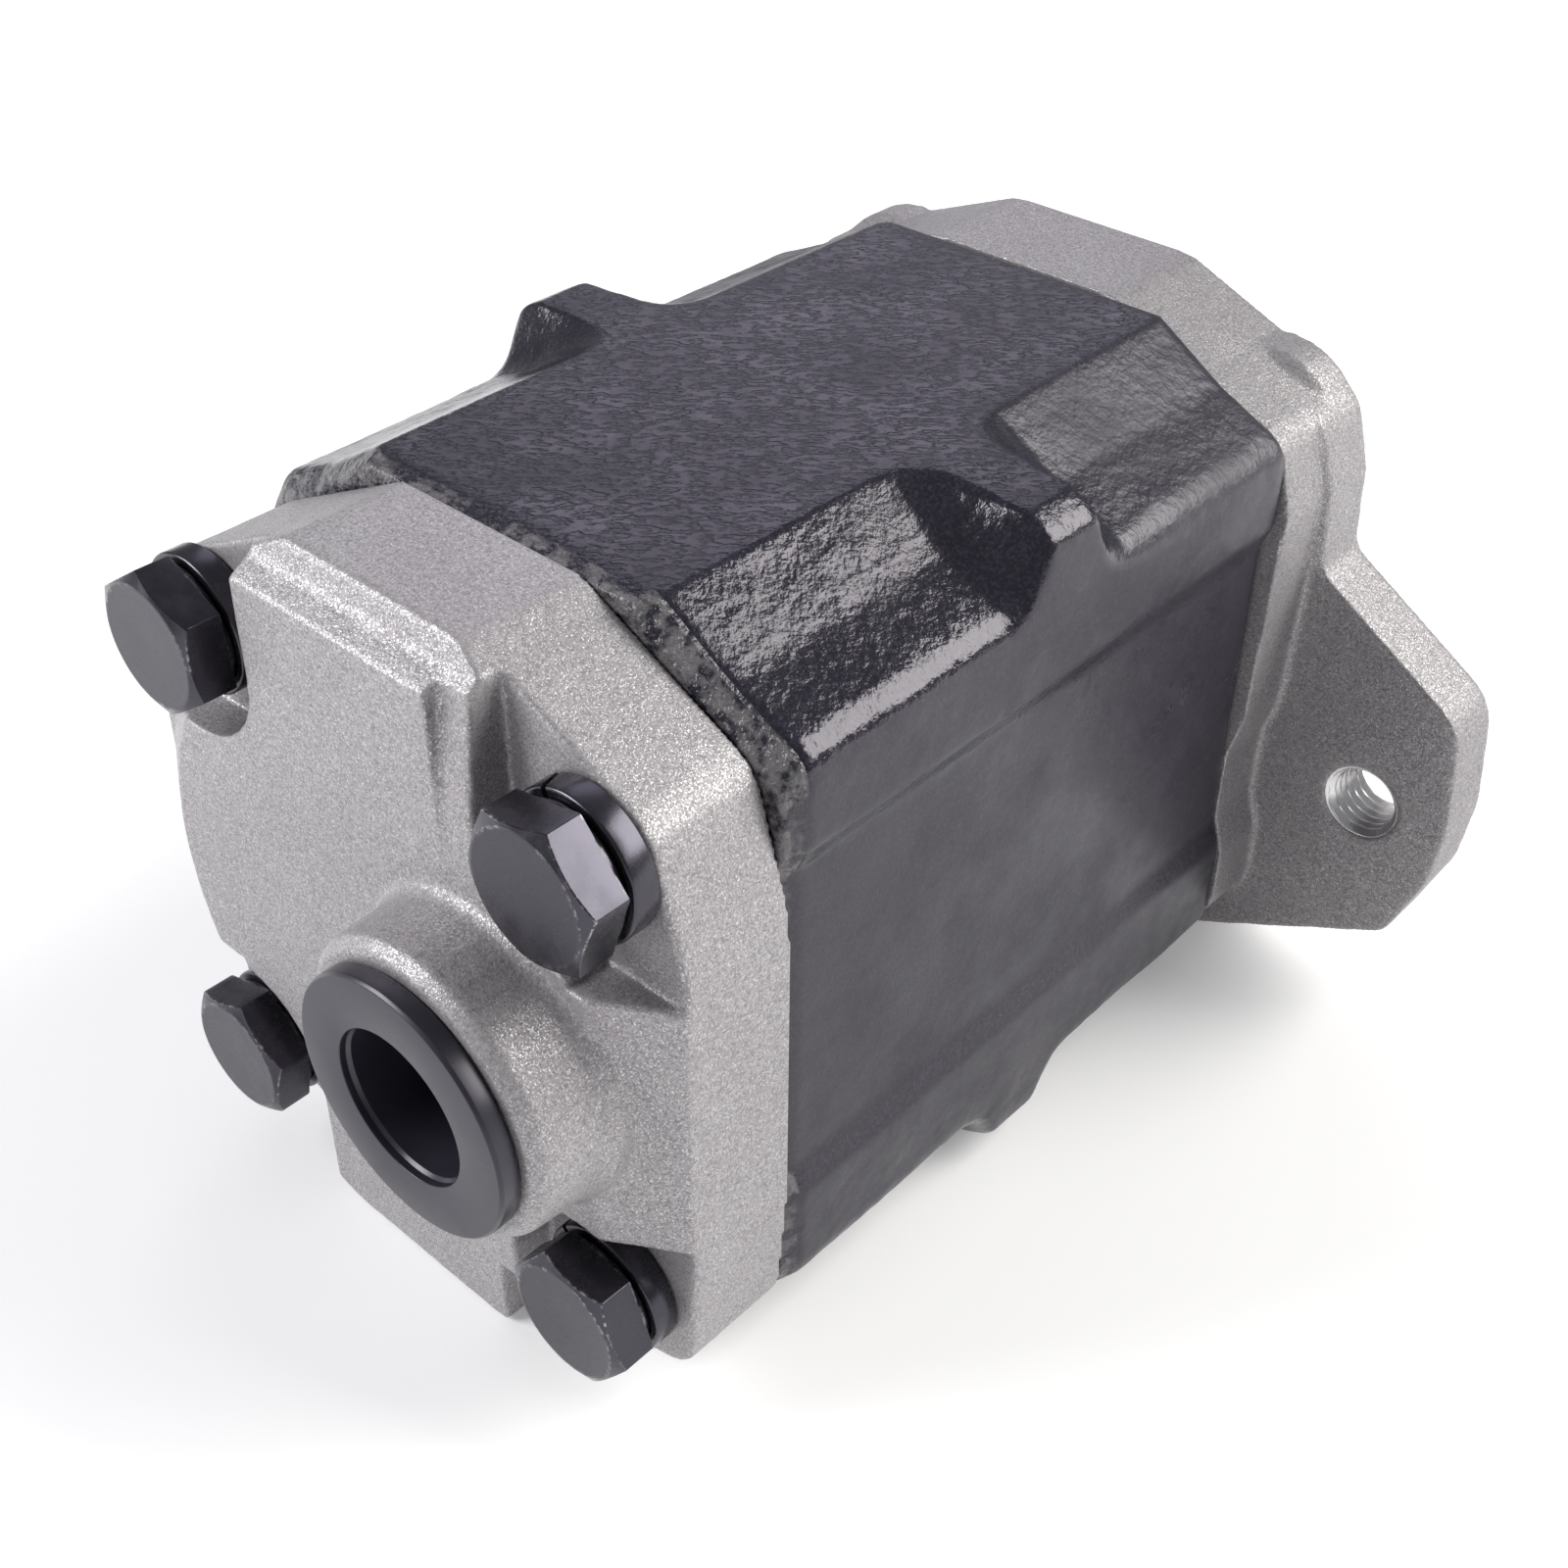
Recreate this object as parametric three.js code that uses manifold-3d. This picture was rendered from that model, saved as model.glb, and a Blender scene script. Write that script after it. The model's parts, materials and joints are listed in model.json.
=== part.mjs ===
// External gear pump for an industrial truck: a cast-iron gear housing clamped between
// an aluminium rear cover and an aluminium two-ear mounting flange by four long bolts.
//
// Millimetres. X points toward the right ear, Y runs along the shafts from the rear cover
// to the mounting face, Z is up. While the pieces are made, Y = 0 is the underside of the
// bolt heads and X = Z = 0 is the middle of the bolt pattern. The finished group is then
// moved so that the pump stands on Z = 0 with the middle of its box over the origin.

import * as THREE from 'three';
import { mergeVertices } from 'three/addons/utils/BufferGeometryUtils.js';
import Module from 'manifold-3d';

const wasm = await Module();
wasm.setup();

// ---- Driving dimensions ------------------------------------------------------------

const GAP = 0.3;             // clearance left between pieces that touch

const HALF_HEIGHT = 58;      // casings, centre to top face
const HALF_WIDTH = 50;       // casings, centre to side face

const COVER_FRONT = 4.5;     // floor of the bolt pockets
const PLATEAU_FRONT = -2.5;  // raised cross on the rear cover
const HOUSING_FRONT = 22;    // joint between rear cover and gear housing
const FLANGE_FRONT = 129.5;  // joint between gear housing and mounting flange
const EAR_FRONT = 140;       // seat of the mounting bolts on the ears
const MOUNT_FACE = 151.5;    // face that meets the drive
const PILOT_FACE = 157.5;    // end of the round register
const SHAFT_END = 190;

const BOLT_X = 36.5;         // through-bolt pattern
const BOLT_Z = 37.3;
const BOLT_R = 6;            // M12
const BOLT_HOLE_R = 6.4;
const BOLT_END = 147;
const HEX_FLATS = 19;
const HEAD_HEIGHT = 7;
const WASHER_R = 10.3;
const POCKET_R = 15;

const SHAFT_Z = 17;          // drive shaft at -SHAFT_Z, driven shaft at +SHAFT_Z
const MODULE_MM = 3.4;       // gear module: 10 teeth on a 34 mm centre distance
const TEETH = 10;
const PRESSURE_ANGLE = THREE.MathUtils.degToRad(28);
const BACKLASH = 0.5;
const BORE_R = 20.8;         // gear bores of the housing
const GEAR_FRONT = 51.75;
const GEAR_REAR = 99.75;
const JOURNAL_R = 11;
const BUSH_R = 13;

const PORT_X = 21.4;         // suction port in the rear cover
const PORT_Z = 1;
const BOSS_R = 22;
const BOSS_FRONT = -14.3;
const PORT_R = 16.2;
const PORT_DEPTH = 26.3;
const PORT_PASSAGE_R = 9;
const PLUG_FLANGE_R = 19.1;
const PLUG_HOLE_R = 11.4;
const PLUG_RIM = 3;
const PLUG_DEPTH = 17;

const OUTLET_Y = 75.75;      // pressure port, in the middle of the left side
const OUTLET_R = 13.2;
const OUTLET_DEPTH = 14.5;
const OUTLET_PASSAGE_R = 8;
const OUTLET_PLUG_R = 16;
const OUTLET_HOLE_R = 9;
const OUTLET_RIM = 2.6;
const OUTLET_PLUG_DEPTH = 12;

const EAR_X = 68;            // mounting hole centres at +-EAR_X, level with the drive shaft
const EAR_HOLE_R = 6.2;
const PILOT_R = 40;
const SEAL_R = 19;
const THROAT_R = 12;         // passage for a shaft through the flange
const BODY_SEAL_R = 24.5;    // middle of the racetrack seals between the casings

const SIDES = [-1, 1];

// ---- Materials ---------------------------------------------------------------------

const finish = (color, roughness, metalness) =>
  new THREE.MeshStandardMaterial({ color, roughness, metalness });

const castAluminium = finish(0xb0abad, 0.55, 0.9);
const blackPaint = finish(0x2a2a2e, 0.35, 0.0);
const blackSteel = finish(0x26262a, 0.35, 0.8);
const blackPlastic = finish(0x1c1c20, 0.4, 0.0);
const gearSteel = finish(0x9c9ca0, 0.3, 1.0);
const bearingBronze = finish(0xa6804e, 0.4, 1.0);
const sealRubber = finish(0x161616, 0.8, 0.0);

// ---- Solid helpers -----------------------------------------------------------------

// A closed three.js geometry as a solid for joining and cutting.
function solid(geometry) {
  const bare = geometry.clone();
  bare.deleteAttribute('normal');
  bare.deleteAttribute('uv');
  const merged = mergeVertices(bare, 1e-4);
  return new wasm.Manifold(new wasm.Mesh({
    numProp: 3,
    vertProperties: new Float32Array(merged.attributes.position.array),
    triVerts: new Uint32Array(merged.index.array),
  }));
}

const join = (...solids) => solids.reduce((a, b) => a.add(b));
const cut = (body, ...tools) => tools.reduce((a, b) => a.subtract(b), body);

// The solid as a named piece of the pump.
function piece(name, shape, material) {
  const mesh = shape.getMesh();
  const geometry = new THREE.BufferGeometry();
  geometry.setAttribute('position', new THREE.BufferAttribute(mesh.vertProperties, mesh.numProp));
  geometry.setIndex(new THREE.BufferAttribute(mesh.triVerts, 1));
  geometry.computeVertexNormals();
  const node = new THREE.Mesh(geometry, material);
  node.name = name;
  return node;
}

// A drawn XZ shape as a slab from y0 to y1.
function slab(shape, y0, y1, curveSegments = 8) {
  const geometry = new THREE.ExtrudeGeometry(shape, { depth: y1 - y0, bevelEnabled: false, curveSegments });
  geometry.rotateX(Math.PI / 2);
  geometry.translate(0, y1, 0);
  return solid(geometry);
}

// A turned piece about a line parallel to Y; the profile is [radius, y] pairs.
function turned(profile, x = 0, z = 0, segments = 24) {
  const closed = profile[0][0] === 0 ? profile : [...profile, profile[0]];
  const points = closed.map(([r, y]) => new THREE.Vector2(r, y));
  const geometry = new THREE.LatheGeometry(points, segments);
  geometry.translate(x, 0, z);
  const made = solid(geometry);
  return made.volume() > 0 ? made : solid(flipped(geometry));
}

function flipped(geometry) {
  const index = geometry.index.array;
  for (let i = 0; i < index.length; i += 3) {
    const first = index[i];
    index[i] = index[i + 1];
    index[i + 1] = first;
  }
  return geometry;
}

const rod = (r, y0, y1, x = 0, z = 0, segments = 24) =>
  turned([[0, y0], [r, y0], [r, y1], [0, y1]], x, z, segments);

const tube = (rIn, rOut, y0, y1, x = 0, z = 0, segments = 24) =>
  turned([[rIn, y0], [rOut, y0], [rOut, y1], [rIn, y1]], x, z, segments);

function block(x0, x1, y0, y1, z0, z1) {
  const geometry = new THREE.BoxGeometry(x1 - x0, y1 - y0, z1 - z0);
  geometry.translate((x0 + x1) / 2, (y0 + y1) / 2, (z0 + z1) / 2);
  return solid(geometry);
}

// Corner list [x, z, radius] as points, each corner rounded with its own arc.
function rounded(corners, steps = 3) {
  const points = [];
  corners.forEach(([x, z, radius = 0], i) => {
    const here = new THREE.Vector2(x, z);
    if (radius === 0) {
      points.push(here);
      return;
    }
    const before = new THREE.Vector2(...corners.at(i - 1)).sub(here).normalize();
    const after = new THREE.Vector2(...corners[(i + 1) % corners.length]).sub(here).normalize();
    const half = before.angleTo(after) / 2;
    const middle = before.clone().add(after).normalize();
    const centre = here.clone().addScaledVector(middle, radius / Math.sin(half));
    const from = here.clone().addScaledVector(before, radius / Math.tan(half)).sub(centre);
    const sweep = Math.sign(from.cross(middle.clone().negate())) * (Math.PI - 2 * half);
    for (let k = 0; k <= steps; k++) {
      const arm = from.clone().rotateAround(new THREE.Vector2(), sweep * k / steps);
      points.push(centre.clone().add(arm));
    }
  });
  return points;
}

// Right-hand corners, top to bottom, completed with their mirror images on the left.
const mirrored = (right) => [...right, ...right.map(([x, z, r]) => [-x, z, r]).reverse()];

// A skin through sections that all have the same number of points.
function loft(sections) {
  const count = sections[0].points.length;
  const position = sections.flatMap(({ y, points }) => points.flatMap((p) => [p.x, y, p.y]));
  const index = [];
  for (let s = 0; s < sections.length - 1; s++) {
    for (let i = 0; i < count; i++) {
      const a = s * count + i;
      const b = s * count + (i + 1) % count;
      index.push(a, b, a + count, b, b + count, a + count);
    }
  }
  const last = (sections.length - 1) * count;
  for (const [a, b, c] of capTriangles(sections[0].points)) {
    index.push(a, c, b);
  }
  for (const [a, b, c] of capTriangles(sections.at(-1).points)) {
    index.push(last + a, last + b, last + c);
  }
  const geometry = new THREE.BufferGeometry();
  geometry.setAttribute('position', new THREE.Float32BufferAttribute(position, 3));
  geometry.setIndex(index);
  const made = solid(geometry);
  return made.volume() > 0 ? made : solid(flipped(geometry));
}

// Triangles that fill an outline, wound the same way as the outline itself.
function capTriangles(outline) {
  const side = (from, to) => outline[to].clone().sub(outline[from]);
  const signedArea = (a, b, c) => side(a, b).cross(side(a, c));
  const triangles = THREE.ShapeUtils.triangulateShape(outline, []);
  const total = triangles.reduce((sum, [a, b, c]) => sum + signedArea(a, b, c), 0);
  const sameWay = Math.sign(total) === Math.sign(THREE.ShapeUtils.area(outline));
  return sameWay ? triangles : triangles.map(([a, b, c]) => [a, c, b]);
}

const eachBolt = (make) => SIDES.flatMap((sx) => SIDES.map((sz) => make(sx * BOLT_X, sz * BOLT_Z)));
const boltHoles = (y0, y1) => eachBolt((x, z) => rod(BOLT_HOLE_R, y0, y1, x, z, 16));

// Dowel pins sit on one diagonal, above and below the gear bores.
const DOWELS = [[24, -46], [-24, 46]];
const DOWEL_R = 3;
const DOWEL_REACH = 8;
const dowelHoles = (joint) => DOWELS.map(([x, z]) =>
  rod(DOWEL_R + GAP, joint - DOWEL_REACH - GAP, joint + DOWEL_REACH + GAP, x, z, 10));

// Racetrack ring round both gear bores.
function racetrack(r) {
  const shape = new THREE.Shape();
  shape.absarc(0, SHAFT_Z, r, 0, Math.PI, false);
  shape.absarc(0, -SHAFT_Z, r, Math.PI, 2 * Math.PI, false);
  return shape;
}
const racetrackRing = (halfWidth, y0, y1) => cut(
  slab(racetrack(BODY_SEAL_R + halfWidth), y0, y1, 6),
  slab(racetrack(BODY_SEAL_R - halfWidth), y0 - 1, y1 + 1, 6),
);
const SEAL_HALF_WIDTH = 1.4; // of the body seals
const GROOVE_HALF_WIDTH = 1.9;
const GROOVE_DEPTH = 2.4;

// ---- Rear cover --------------------------------------------------------------------

function rearCover() {
  const back = HOUSING_FRONT - GAP / 2;
  const outline = new THREE.Shape(rounded(mirrored([
    [16, HALF_HEIGHT, 5], [44.8, 43.8, 8], [HALF_WIDTH + 0.4, 24, 25],
    [HALF_WIDTH + 0.4, -28, 18], [48.8, -47.8, 6], [16.5, -HALF_HEIGHT, 5],
  ])));
  const plate = slab(outline, COVER_FRONT, back);

  // The raised cross is the whole front, less a pocket round each bolt that opens outward.
  const pocket = (sx, sz) => join(
    rod(POCKET_R, PLATEAU_FRONT - 1, COVER_FRONT, sx * BOLT_X, sz * BOLT_Z, 32),
    cornerBlock(sx, sz, BOLT_X - POCKET_R, BOLT_Z),
    cornerBlock(sx, sz, BOLT_X, BOLT_Z - POCKET_R - (sx * sz > 0 ? 1.6 : 0)),
    cornerBlock(sx, sz, BOLT_X - POCKET_R - (sx > 0 && sz < 0 ? 3.5 : 0), BOLT_Z + 8),
  );
  const pockets = SIDES.flatMap((sx) => SIDES.map((sz) => pocket(sx, sz)));
  let cross = cut(slab(outline, PLATEAU_FRONT, COVER_FRONT + 1), ...pockets);
  cross = cut(cross, rightRamp(), leftSlope(), topRamp(), stripWedge());

  const boss = turned([[0, COVER_FRONT + 1], [BOSS_R + 1.5, COVER_FRONT + 1], [BOSS_R + 1.5, PLATEAU_FRONT],
    [BOSS_R + 0.5, PLATEAU_FRONT - 1.6], [BOSS_R, BOSS_FRONT + 1.6], [BOSS_R - 1.6, BOSS_FRONT],
    [0, BOSS_FRONT]], PORT_X, PORT_Z, 40);

  const sealGroove = racetrackRing(GROOVE_HALF_WIDTH, back - GROOVE_DEPTH, back + 1);
  return cut(
    join(plate, cross, boss),
    rod(PORT_R, BOSS_FRONT - 1, BOSS_FRONT + PORT_DEPTH, PORT_X, PORT_Z, 32),
    rod(PORT_PASSAGE_R, BOSS_FRONT + PORT_DEPTH - 1, back + 1, PORT_X, PORT_Z, 16),
    ...boltHoles(COVER_FRONT - 1, back + 1),
    ...dowelHoles(HOUSING_FRONT),
    sealGroove,
  );
}

// Open corner of a bolt pocket, from x and z outward past the edge of the cover.
function cornerBlock(sx, sz, x, z) {
  const [x0, x1] = [sx * x, sx * 70].sort((a, b) => a - b);
  const [z0, z1] = [sz * z, sz * 70].sort((a, b) => a - b);
  return block(x0, x1, PLATEAU_FRONT - 1, COVER_FRONT, z0, z1);
}

// The right arm of the cross ramps down to the level of the pocket floors.
function rightRamp() {
  const [width, depth, beyond] = [10.5, 6.5, 5];
  const edge = HALF_WIDTH + 0.4;
  const shape = new THREE.Shape([[edge - width, 0], [edge + beyond, 0],
    [edge + beyond, depth * (1 + beyond / width)]].map(([x, y]) => new THREE.Vector2(x, y)));
  const geometry = new THREE.ExtrudeGeometry(shape, { depth: 80, bevelEnabled: false });
  geometry.translate(0, PLATEAU_FRONT, -40);
  return solid(geometry);
}

// The left arm ends in a wide curve that slopes away from the plateau.
function leftSlope() {
  const [x, z, radius, slope] = [2, -3, 48, 1.65];
  const [y0, y1] = [PLATEAU_FRONT - 1, PLATEAU_FRONT + 3.4];
  const [r0, r1] = [y0, y1].map((y) => radius + slope * (y - PLATEAU_FRONT));
  const cone = turned([[0, y0 - 1], [r0 - slope, y0 - 1], [r1 + slope, y1 + 1], [0, y1 + 1]], x, z, 64);
  return cut(block(-60, -36, y0, y1, -30, 30), cone);
}

function topRamp() {
  const shape = new THREE.Shape([[HALF_HEIGHT - 5.6, 0], [HALF_HEIGHT + 5, 0], [HALF_HEIGHT + 5, 7.5],
    [HALF_HEIGHT, 5.4], [HALF_HEIGHT - 3.4, 3.6]].map(([z, y]) => new THREE.Vector2(z, y)));
  const geometry = new THREE.ExtrudeGeometry(shape, { depth: 140, bevelEnabled: false });
  geometry.rotateY(-Math.PI / 2);
  geometry.translate(70, PLATEAU_FRONT, 0);
  return solid(geometry);
}

// The strip beside the upper right pocket drops below the plateau toward the top.
function stripWedge() {
  const [x0, x1, zLow, drop] = [16, 30, 30, 2.2];
  const geometry = new THREE.BoxGeometry(x1 - x0, 6, 60);
  geometry.translate(0, -3, 30);
  geometry.rotateX(-Math.atan2(drop, HALF_HEIGHT - 5 - zLow));
  geometry.translate((x0 + x1) / 2, PLATEAU_FRONT, zLow);
  return solid(geometry);
}

// ---- Gear housing ------------------------------------------------------------------

const GUSSET_HALF = 5;       // mid-length corner gussets, half their width along the shaft
const GUSSET_ROOT = 12.5;    // where their root fillets end
const HOUSING_HALF_WIDTH = HALF_WIDTH + 0.3;
const PANEL_DEPTH = 1.7;     // the side faces are slightly sunk between the corner ribs
const GALLERY_R = 7.5;       // suction passage along the housing to the gears
const GALLERY_END = 95;

// Section of the casting; fill goes from 0 at the chamfered corners to 1 on a gusset, and
// inset draws the upper edges in at the two ends.
function housingSection(fill, inset) {
  const part = (open, full) => THREE.MathUtils.lerp(open, full, fill);
  const topX = part(26.5, 31) - inset * 0.6;
  const top = HALF_HEIGHT - inset * 0.25;
  const side = HOUSING_HALF_WIDTH - inset * 0.4;
  const right = [
    [topX, top], [part(38, 45.5), part(51, 57) - inset * 0.8], [side, part(45.5, 54.5) - inset, 5 - fill],
    [side, 32], [side - PANEL_DEPTH, 28], [side - PANEL_DEPTH, -25], [side, -29],
    [side, -part(46.5, 53.5), 5 - fill], [part(38.6, 45), -part(52, 56.4)], [part(27, 31), -HALF_HEIGHT],
  ];
  return rounded(mirrored(right));
}

function gearHousing() {
  const [y0, y1] = [HOUSING_FRONT + GAP / 2, FLANGE_FRONT - GAP / 2];
  const middle = (HOUSING_FRONT + FLANGE_FRONT) / 2;
  const stations = [[y0, 0, 4], [y0 + 1.5, 0, 2.6], [y0 + 3.6, 0, 0.6]];
  const steps = [0, 0.15, 0.35, 0.6, 1];
  const reach = (t) => GUSSET_HALF + (GUSSET_ROOT - GUSSET_HALF) * t;
  for (const t of [...steps].reverse()) {
    stations.push([middle - reach(t), (1 - t) ** 2, 0]);
  }
  for (const t of steps) {
    stations.push([middle + reach(t), (1 - t) ** 2, 0]);
  }
  stations.push([y1 - 1.5, 0, 0], [y1, 0, 1.2]);
  const casting = loft(stations.map(([y, fill, inset]) => ({ y, points: housingSection(fill, inset) })));

  // A flat pad on the left side carries the pressure port.
  const padFace = -HOUSING_HALF_WIDTH;
  const pad = block(padFace, padFace + 6, OUTLET_Y - 24, OUTLET_Y + 24, -27, 29);

  const bores = SIDES.map((s) => rod(BORE_R, y0 - 1, y1 + 1, 0, s * SHAFT_Z, 40));
  const suctionGallery = rod(GALLERY_R, y0 - 1, GALLERY_END, PORT_X + 3, 0, 16);
  const suctionWindow = block(4, PORT_X + 4, GEAR_FRONT + 3, GEAR_REAR - 3, -8, 8);
  const sideways = (shape) => shape.rotate([0, 0, -90]).translate([padFace, OUTLET_Y, 0]);
  const outlet = sideways(rod(OUTLET_R, -1, OUTLET_DEPTH));
  const outletWindow = sideways(rod(OUTLET_PASSAGE_R, OUTLET_DEPTH - 1, -padFace, 0, 0, 16));
  return cut(
    join(casting, pad),
    ...bores,
    suctionGallery,
    suctionWindow,
    outlet,
    outletWindow,
    ...boltHoles(y0 - 1, y1 + 1),
    ...dowelHoles(HOUSING_FRONT),
    ...dowelHoles(FLANGE_FRONT),
  );
}

// ---- Mounting flange ---------------------------------------------------------------

const SEAL_SEAT = 143;       // bottom of the lip seal's recess
const RING_Y = [152.3, 153.5];
const RING_GROOVE = 1.2;     // depth of the retaining ring's groove
const BOLT_BOSS_R = 13.8;    // round pads behind the upper bolts
const grown = ([y0, y1], by) => [y0 - by, y1 + by];

function mountingFlange() {
  const front = FLANGE_FRONT + GAP / 2;
  const blockOutline = new THREE.Shape(rounded(mirrored([
    [17, HALF_HEIGHT, 8], [48.6, 45, 6], [HALF_WIDTH + 1.6, 34, 12], [HALF_WIDTH + 0.6, -4, 12],
    [HALF_WIDTH - 1.5, -12, 6], [HALF_WIDTH - 1.5, -24, 6], [HALF_WIDTH + 0.6, -31, 5],
    [HALF_WIDTH + 0.6, -45, 7], [26, -HALF_HEIGHT, 4],
  ])));
  const earOutline = new THREE.Shape(rounded(mirrored([
    [17, HALF_HEIGHT, 8], [49.2, 45, 6], [HALF_WIDTH + 2.6, 34, 8], [HALF_WIDTH + 3.4, 20.5, 4],
    [80.8, 3.6, 9], [82.8, -15, 20], [81.7, -26.5, 10], [76.6, -40, 4], [43, -HALF_HEIGHT, 6],
  ])));
  const boltBosses = SIDES.map((s) => turned([
    [0, EAR_FRONT + 2], [BOLT_BOSS_R - 2.3, EAR_FRONT + 2], [BOLT_BOSS_R, EAR_FRONT + 5],
    [BOLT_BOSS_R, MOUNT_FACE], [0, MOUNT_FACE],
  ], s * BOLT_X, BOLT_Z, 28));
  const pilot = turned([[0, MOUNT_FACE - 1], [PILOT_R, MOUNT_FACE - 1], [PILOT_R, PILOT_FACE - 1.2],
    [PILOT_R - 1.2, PILOT_FACE], [0, PILOT_FACE]], 0, -SHAFT_Z, 48);
  const neck = slab(blockOutline, front, EAR_FRONT + 1);
  const plate = slab(earOutline, EAR_FRONT, MOUNT_FACE);
  return cut(
    join(neck, plate, ...boltBosses, pilot),
    rod(THROAT_R, front - 1, PILOT_FACE + 1, 0, -SHAFT_Z),
    rod(SEAL_R, SEAL_SEAT, PILOT_FACE + 1, 0, -SHAFT_Z, 32),
    rod(SEAL_R + RING_GROOVE, ...grown(RING_Y, GAP), 0, -SHAFT_Z, 32),
    rod(THROAT_R, front - 1, front + 4, 0, SHAFT_Z),
    ...SIDES.map((s) => rod(EAR_HOLE_R, EAR_FRONT - 1, MOUNT_FACE + 1, s * EAR_X, -SHAFT_Z, 24)),
    ...boltHoles(front - 1, MOUNT_FACE + 1),
    ...dowelHoles(FLANGE_FRONT),
    racetrackRing(GROOVE_HALF_WIDTH, front - 1, front + GROOVE_DEPTH),
  );
}

// ---- Gears and shafts --------------------------------------------------------------

// Involute spur gear drawn about its own centre, with a tooth centred on angle zero.
function gearShape() {
  const pitchR = MODULE_MM * TEETH / 2;
  const baseR = pitchR * Math.cos(PRESSURE_ANGLE);
  const tipR = pitchR + MODULE_MM * 0.97;
  const rootR = pitchR - MODULE_MM * 1.22;
  const involute = (r) => Math.sqrt(Math.max((r / baseR) ** 2 - 1, 0)) - Math.acos(Math.min(baseR / r, 1));
  const halfPitchAngle = (Math.PI * MODULE_MM / 2 - BACKLASH / 2) / pitchR / 2;
  const flank = (r) => halfPitchAngle + involute(pitchR) - involute(r);
  const pitchAngle = 2 * Math.PI / TEETH;
  const radii = [0, 0.33, 0.67, 1].map((t) => THREE.MathUtils.lerp(baseR + 0.05, tipR, t));
  const points = [];
  const add = (r, angle) => points.push(new THREE.Vector2(r * Math.cos(angle), r * Math.sin(angle)));
  for (let tooth = 0; tooth < TEETH; tooth++) {
    const centre = tooth * pitchAngle;
    add(rootR, centre - flank(radii[0]) - 0.05);
    radii.forEach((r) => add(r, centre - flank(r)));
    [...radii].reverse().forEach((r) => add(r, centre + flank(r)));
    add(rootR, centre + flank(radii[0]) + 0.05);
  }
  return new THREE.Shape(points);
}

function gearAt(z, turn) {
  const gear = slab(gearShape(), GEAR_FRONT + GAP, GEAR_REAR - GAP);
  return gear.rotate([0, turn, 0]).translate([0, 0, z]);
}

const REAR_JOURNAL = HOUSING_FRONT + 2;
const KEY_WIDTH = 6;
const KEY_Y = [163, 185];
const KEY_DEPTH = 3.5;
const DRIVE_END_R = 10;
const DRIVE_STEP = 160;      // where the journal steps down to the keyed end

function driveGearShaft() {
  const shaft = turned([
    [0, REAR_JOURNAL], [JOURNAL_R - 1, REAR_JOURNAL], [JOURNAL_R, REAR_JOURNAL + 1],
    [JOURNAL_R, DRIVE_STEP], [DRIVE_END_R, DRIVE_STEP + 0.5],
    [DRIVE_END_R, SHAFT_END - 1.5], [DRIVE_END_R - 1.5, SHAFT_END], [0, SHAFT_END],
  ], 0, -SHAFT_Z, 36);
  const top = -SHAFT_Z + DRIVE_END_R;
  const keyway = block(-KEY_WIDTH / 2 - GAP, KEY_WIDTH / 2 + GAP, KEY_Y[0] - GAP, KEY_Y[1] + GAP,
    top - KEY_DEPTH - GAP, top + 2);
  return cut(join(gearAt(-SHAFT_Z, 90), shaft), keyway);
}

function drivenGearShaft() {
  const end = FLANGE_FRONT + 2;
  const shaft = turned([[0, REAR_JOURNAL], [JOURNAL_R - 1, REAR_JOURNAL], [JOURNAL_R, REAR_JOURNAL + 1],
    [JOURNAL_R, end - 1], [JOURNAL_R - 1, end], [0, end]], 0, SHAFT_Z, 28);
  return join(gearAt(SHAFT_Z, 90 + 180 / TEETH), shaft);
}

function shaftKey() {
  const top = -SHAFT_Z + DRIVE_END_R;
  return block(-KEY_WIDTH / 2, KEY_WIDTH / 2, KEY_Y[0], KEY_Y[1], top - KEY_DEPTH, top + 2.5);
}

// ---- Bearings and seals ------------------------------------------------------------

const BALANCE_R = 17.9;      // middle of the balance seals round each shaft
const BALANCE_DEPTH = 1.8;

// The "3" that seals the loaded side of a bearing block.
function balanceShape(halfWidth) {
  const shape = new THREE.Shape();
  const cusp = (r) => Math.acos(Math.sqrt(Math.max(r * r - SHAFT_Z * SHAFT_Z, 0)) / r);
  const outer = BALANCE_R + halfWidth;
  const inner = BALANCE_R - halfWidth;
  const innerCusp = Math.min(cusp(inner) || Math.PI / 2, Math.PI / 2 - 0.12);
  shape.absarc(0, -SHAFT_Z, outer, -Math.PI / 2, cusp(outer), false);
  shape.absarc(0, SHAFT_Z, outer, -cusp(outer), Math.PI / 2, false);
  shape.absarc(0, SHAFT_Z, inner, Math.PI / 2, -innerCusp, true);
  shape.absarc(0, -SHAFT_Z, inner, innerCusp, -Math.PI / 2, true);
  return shape;
}

function bearingBlock(y0, y1, sealFace) {
  const blocks = SIDES.map((s) => rod(BORE_R - GAP, y0, y1, 0, s * SHAFT_Z, 32));
  const bushHoles = SIDES.map((s) => rod(BUSH_R + GAP, y0 - 1, y1 + 1, 0, s * SHAFT_Z, 24));
  const groove = slab(balanceShape(1.4), sealFace - BALANCE_DEPTH, sealFace + BALANCE_DEPTH, 6);
  return cut(join(...blocks), ...bushHoles, groove);
}

const balanceSeal = (y0, y1) => slab(balanceShape(1.05), y0, y1, 6);
const bush = (y0, y1, z) => tube(JOURNAL_R + GAP + 0.1, BUSH_R, y0, y1, 0, z);

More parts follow.
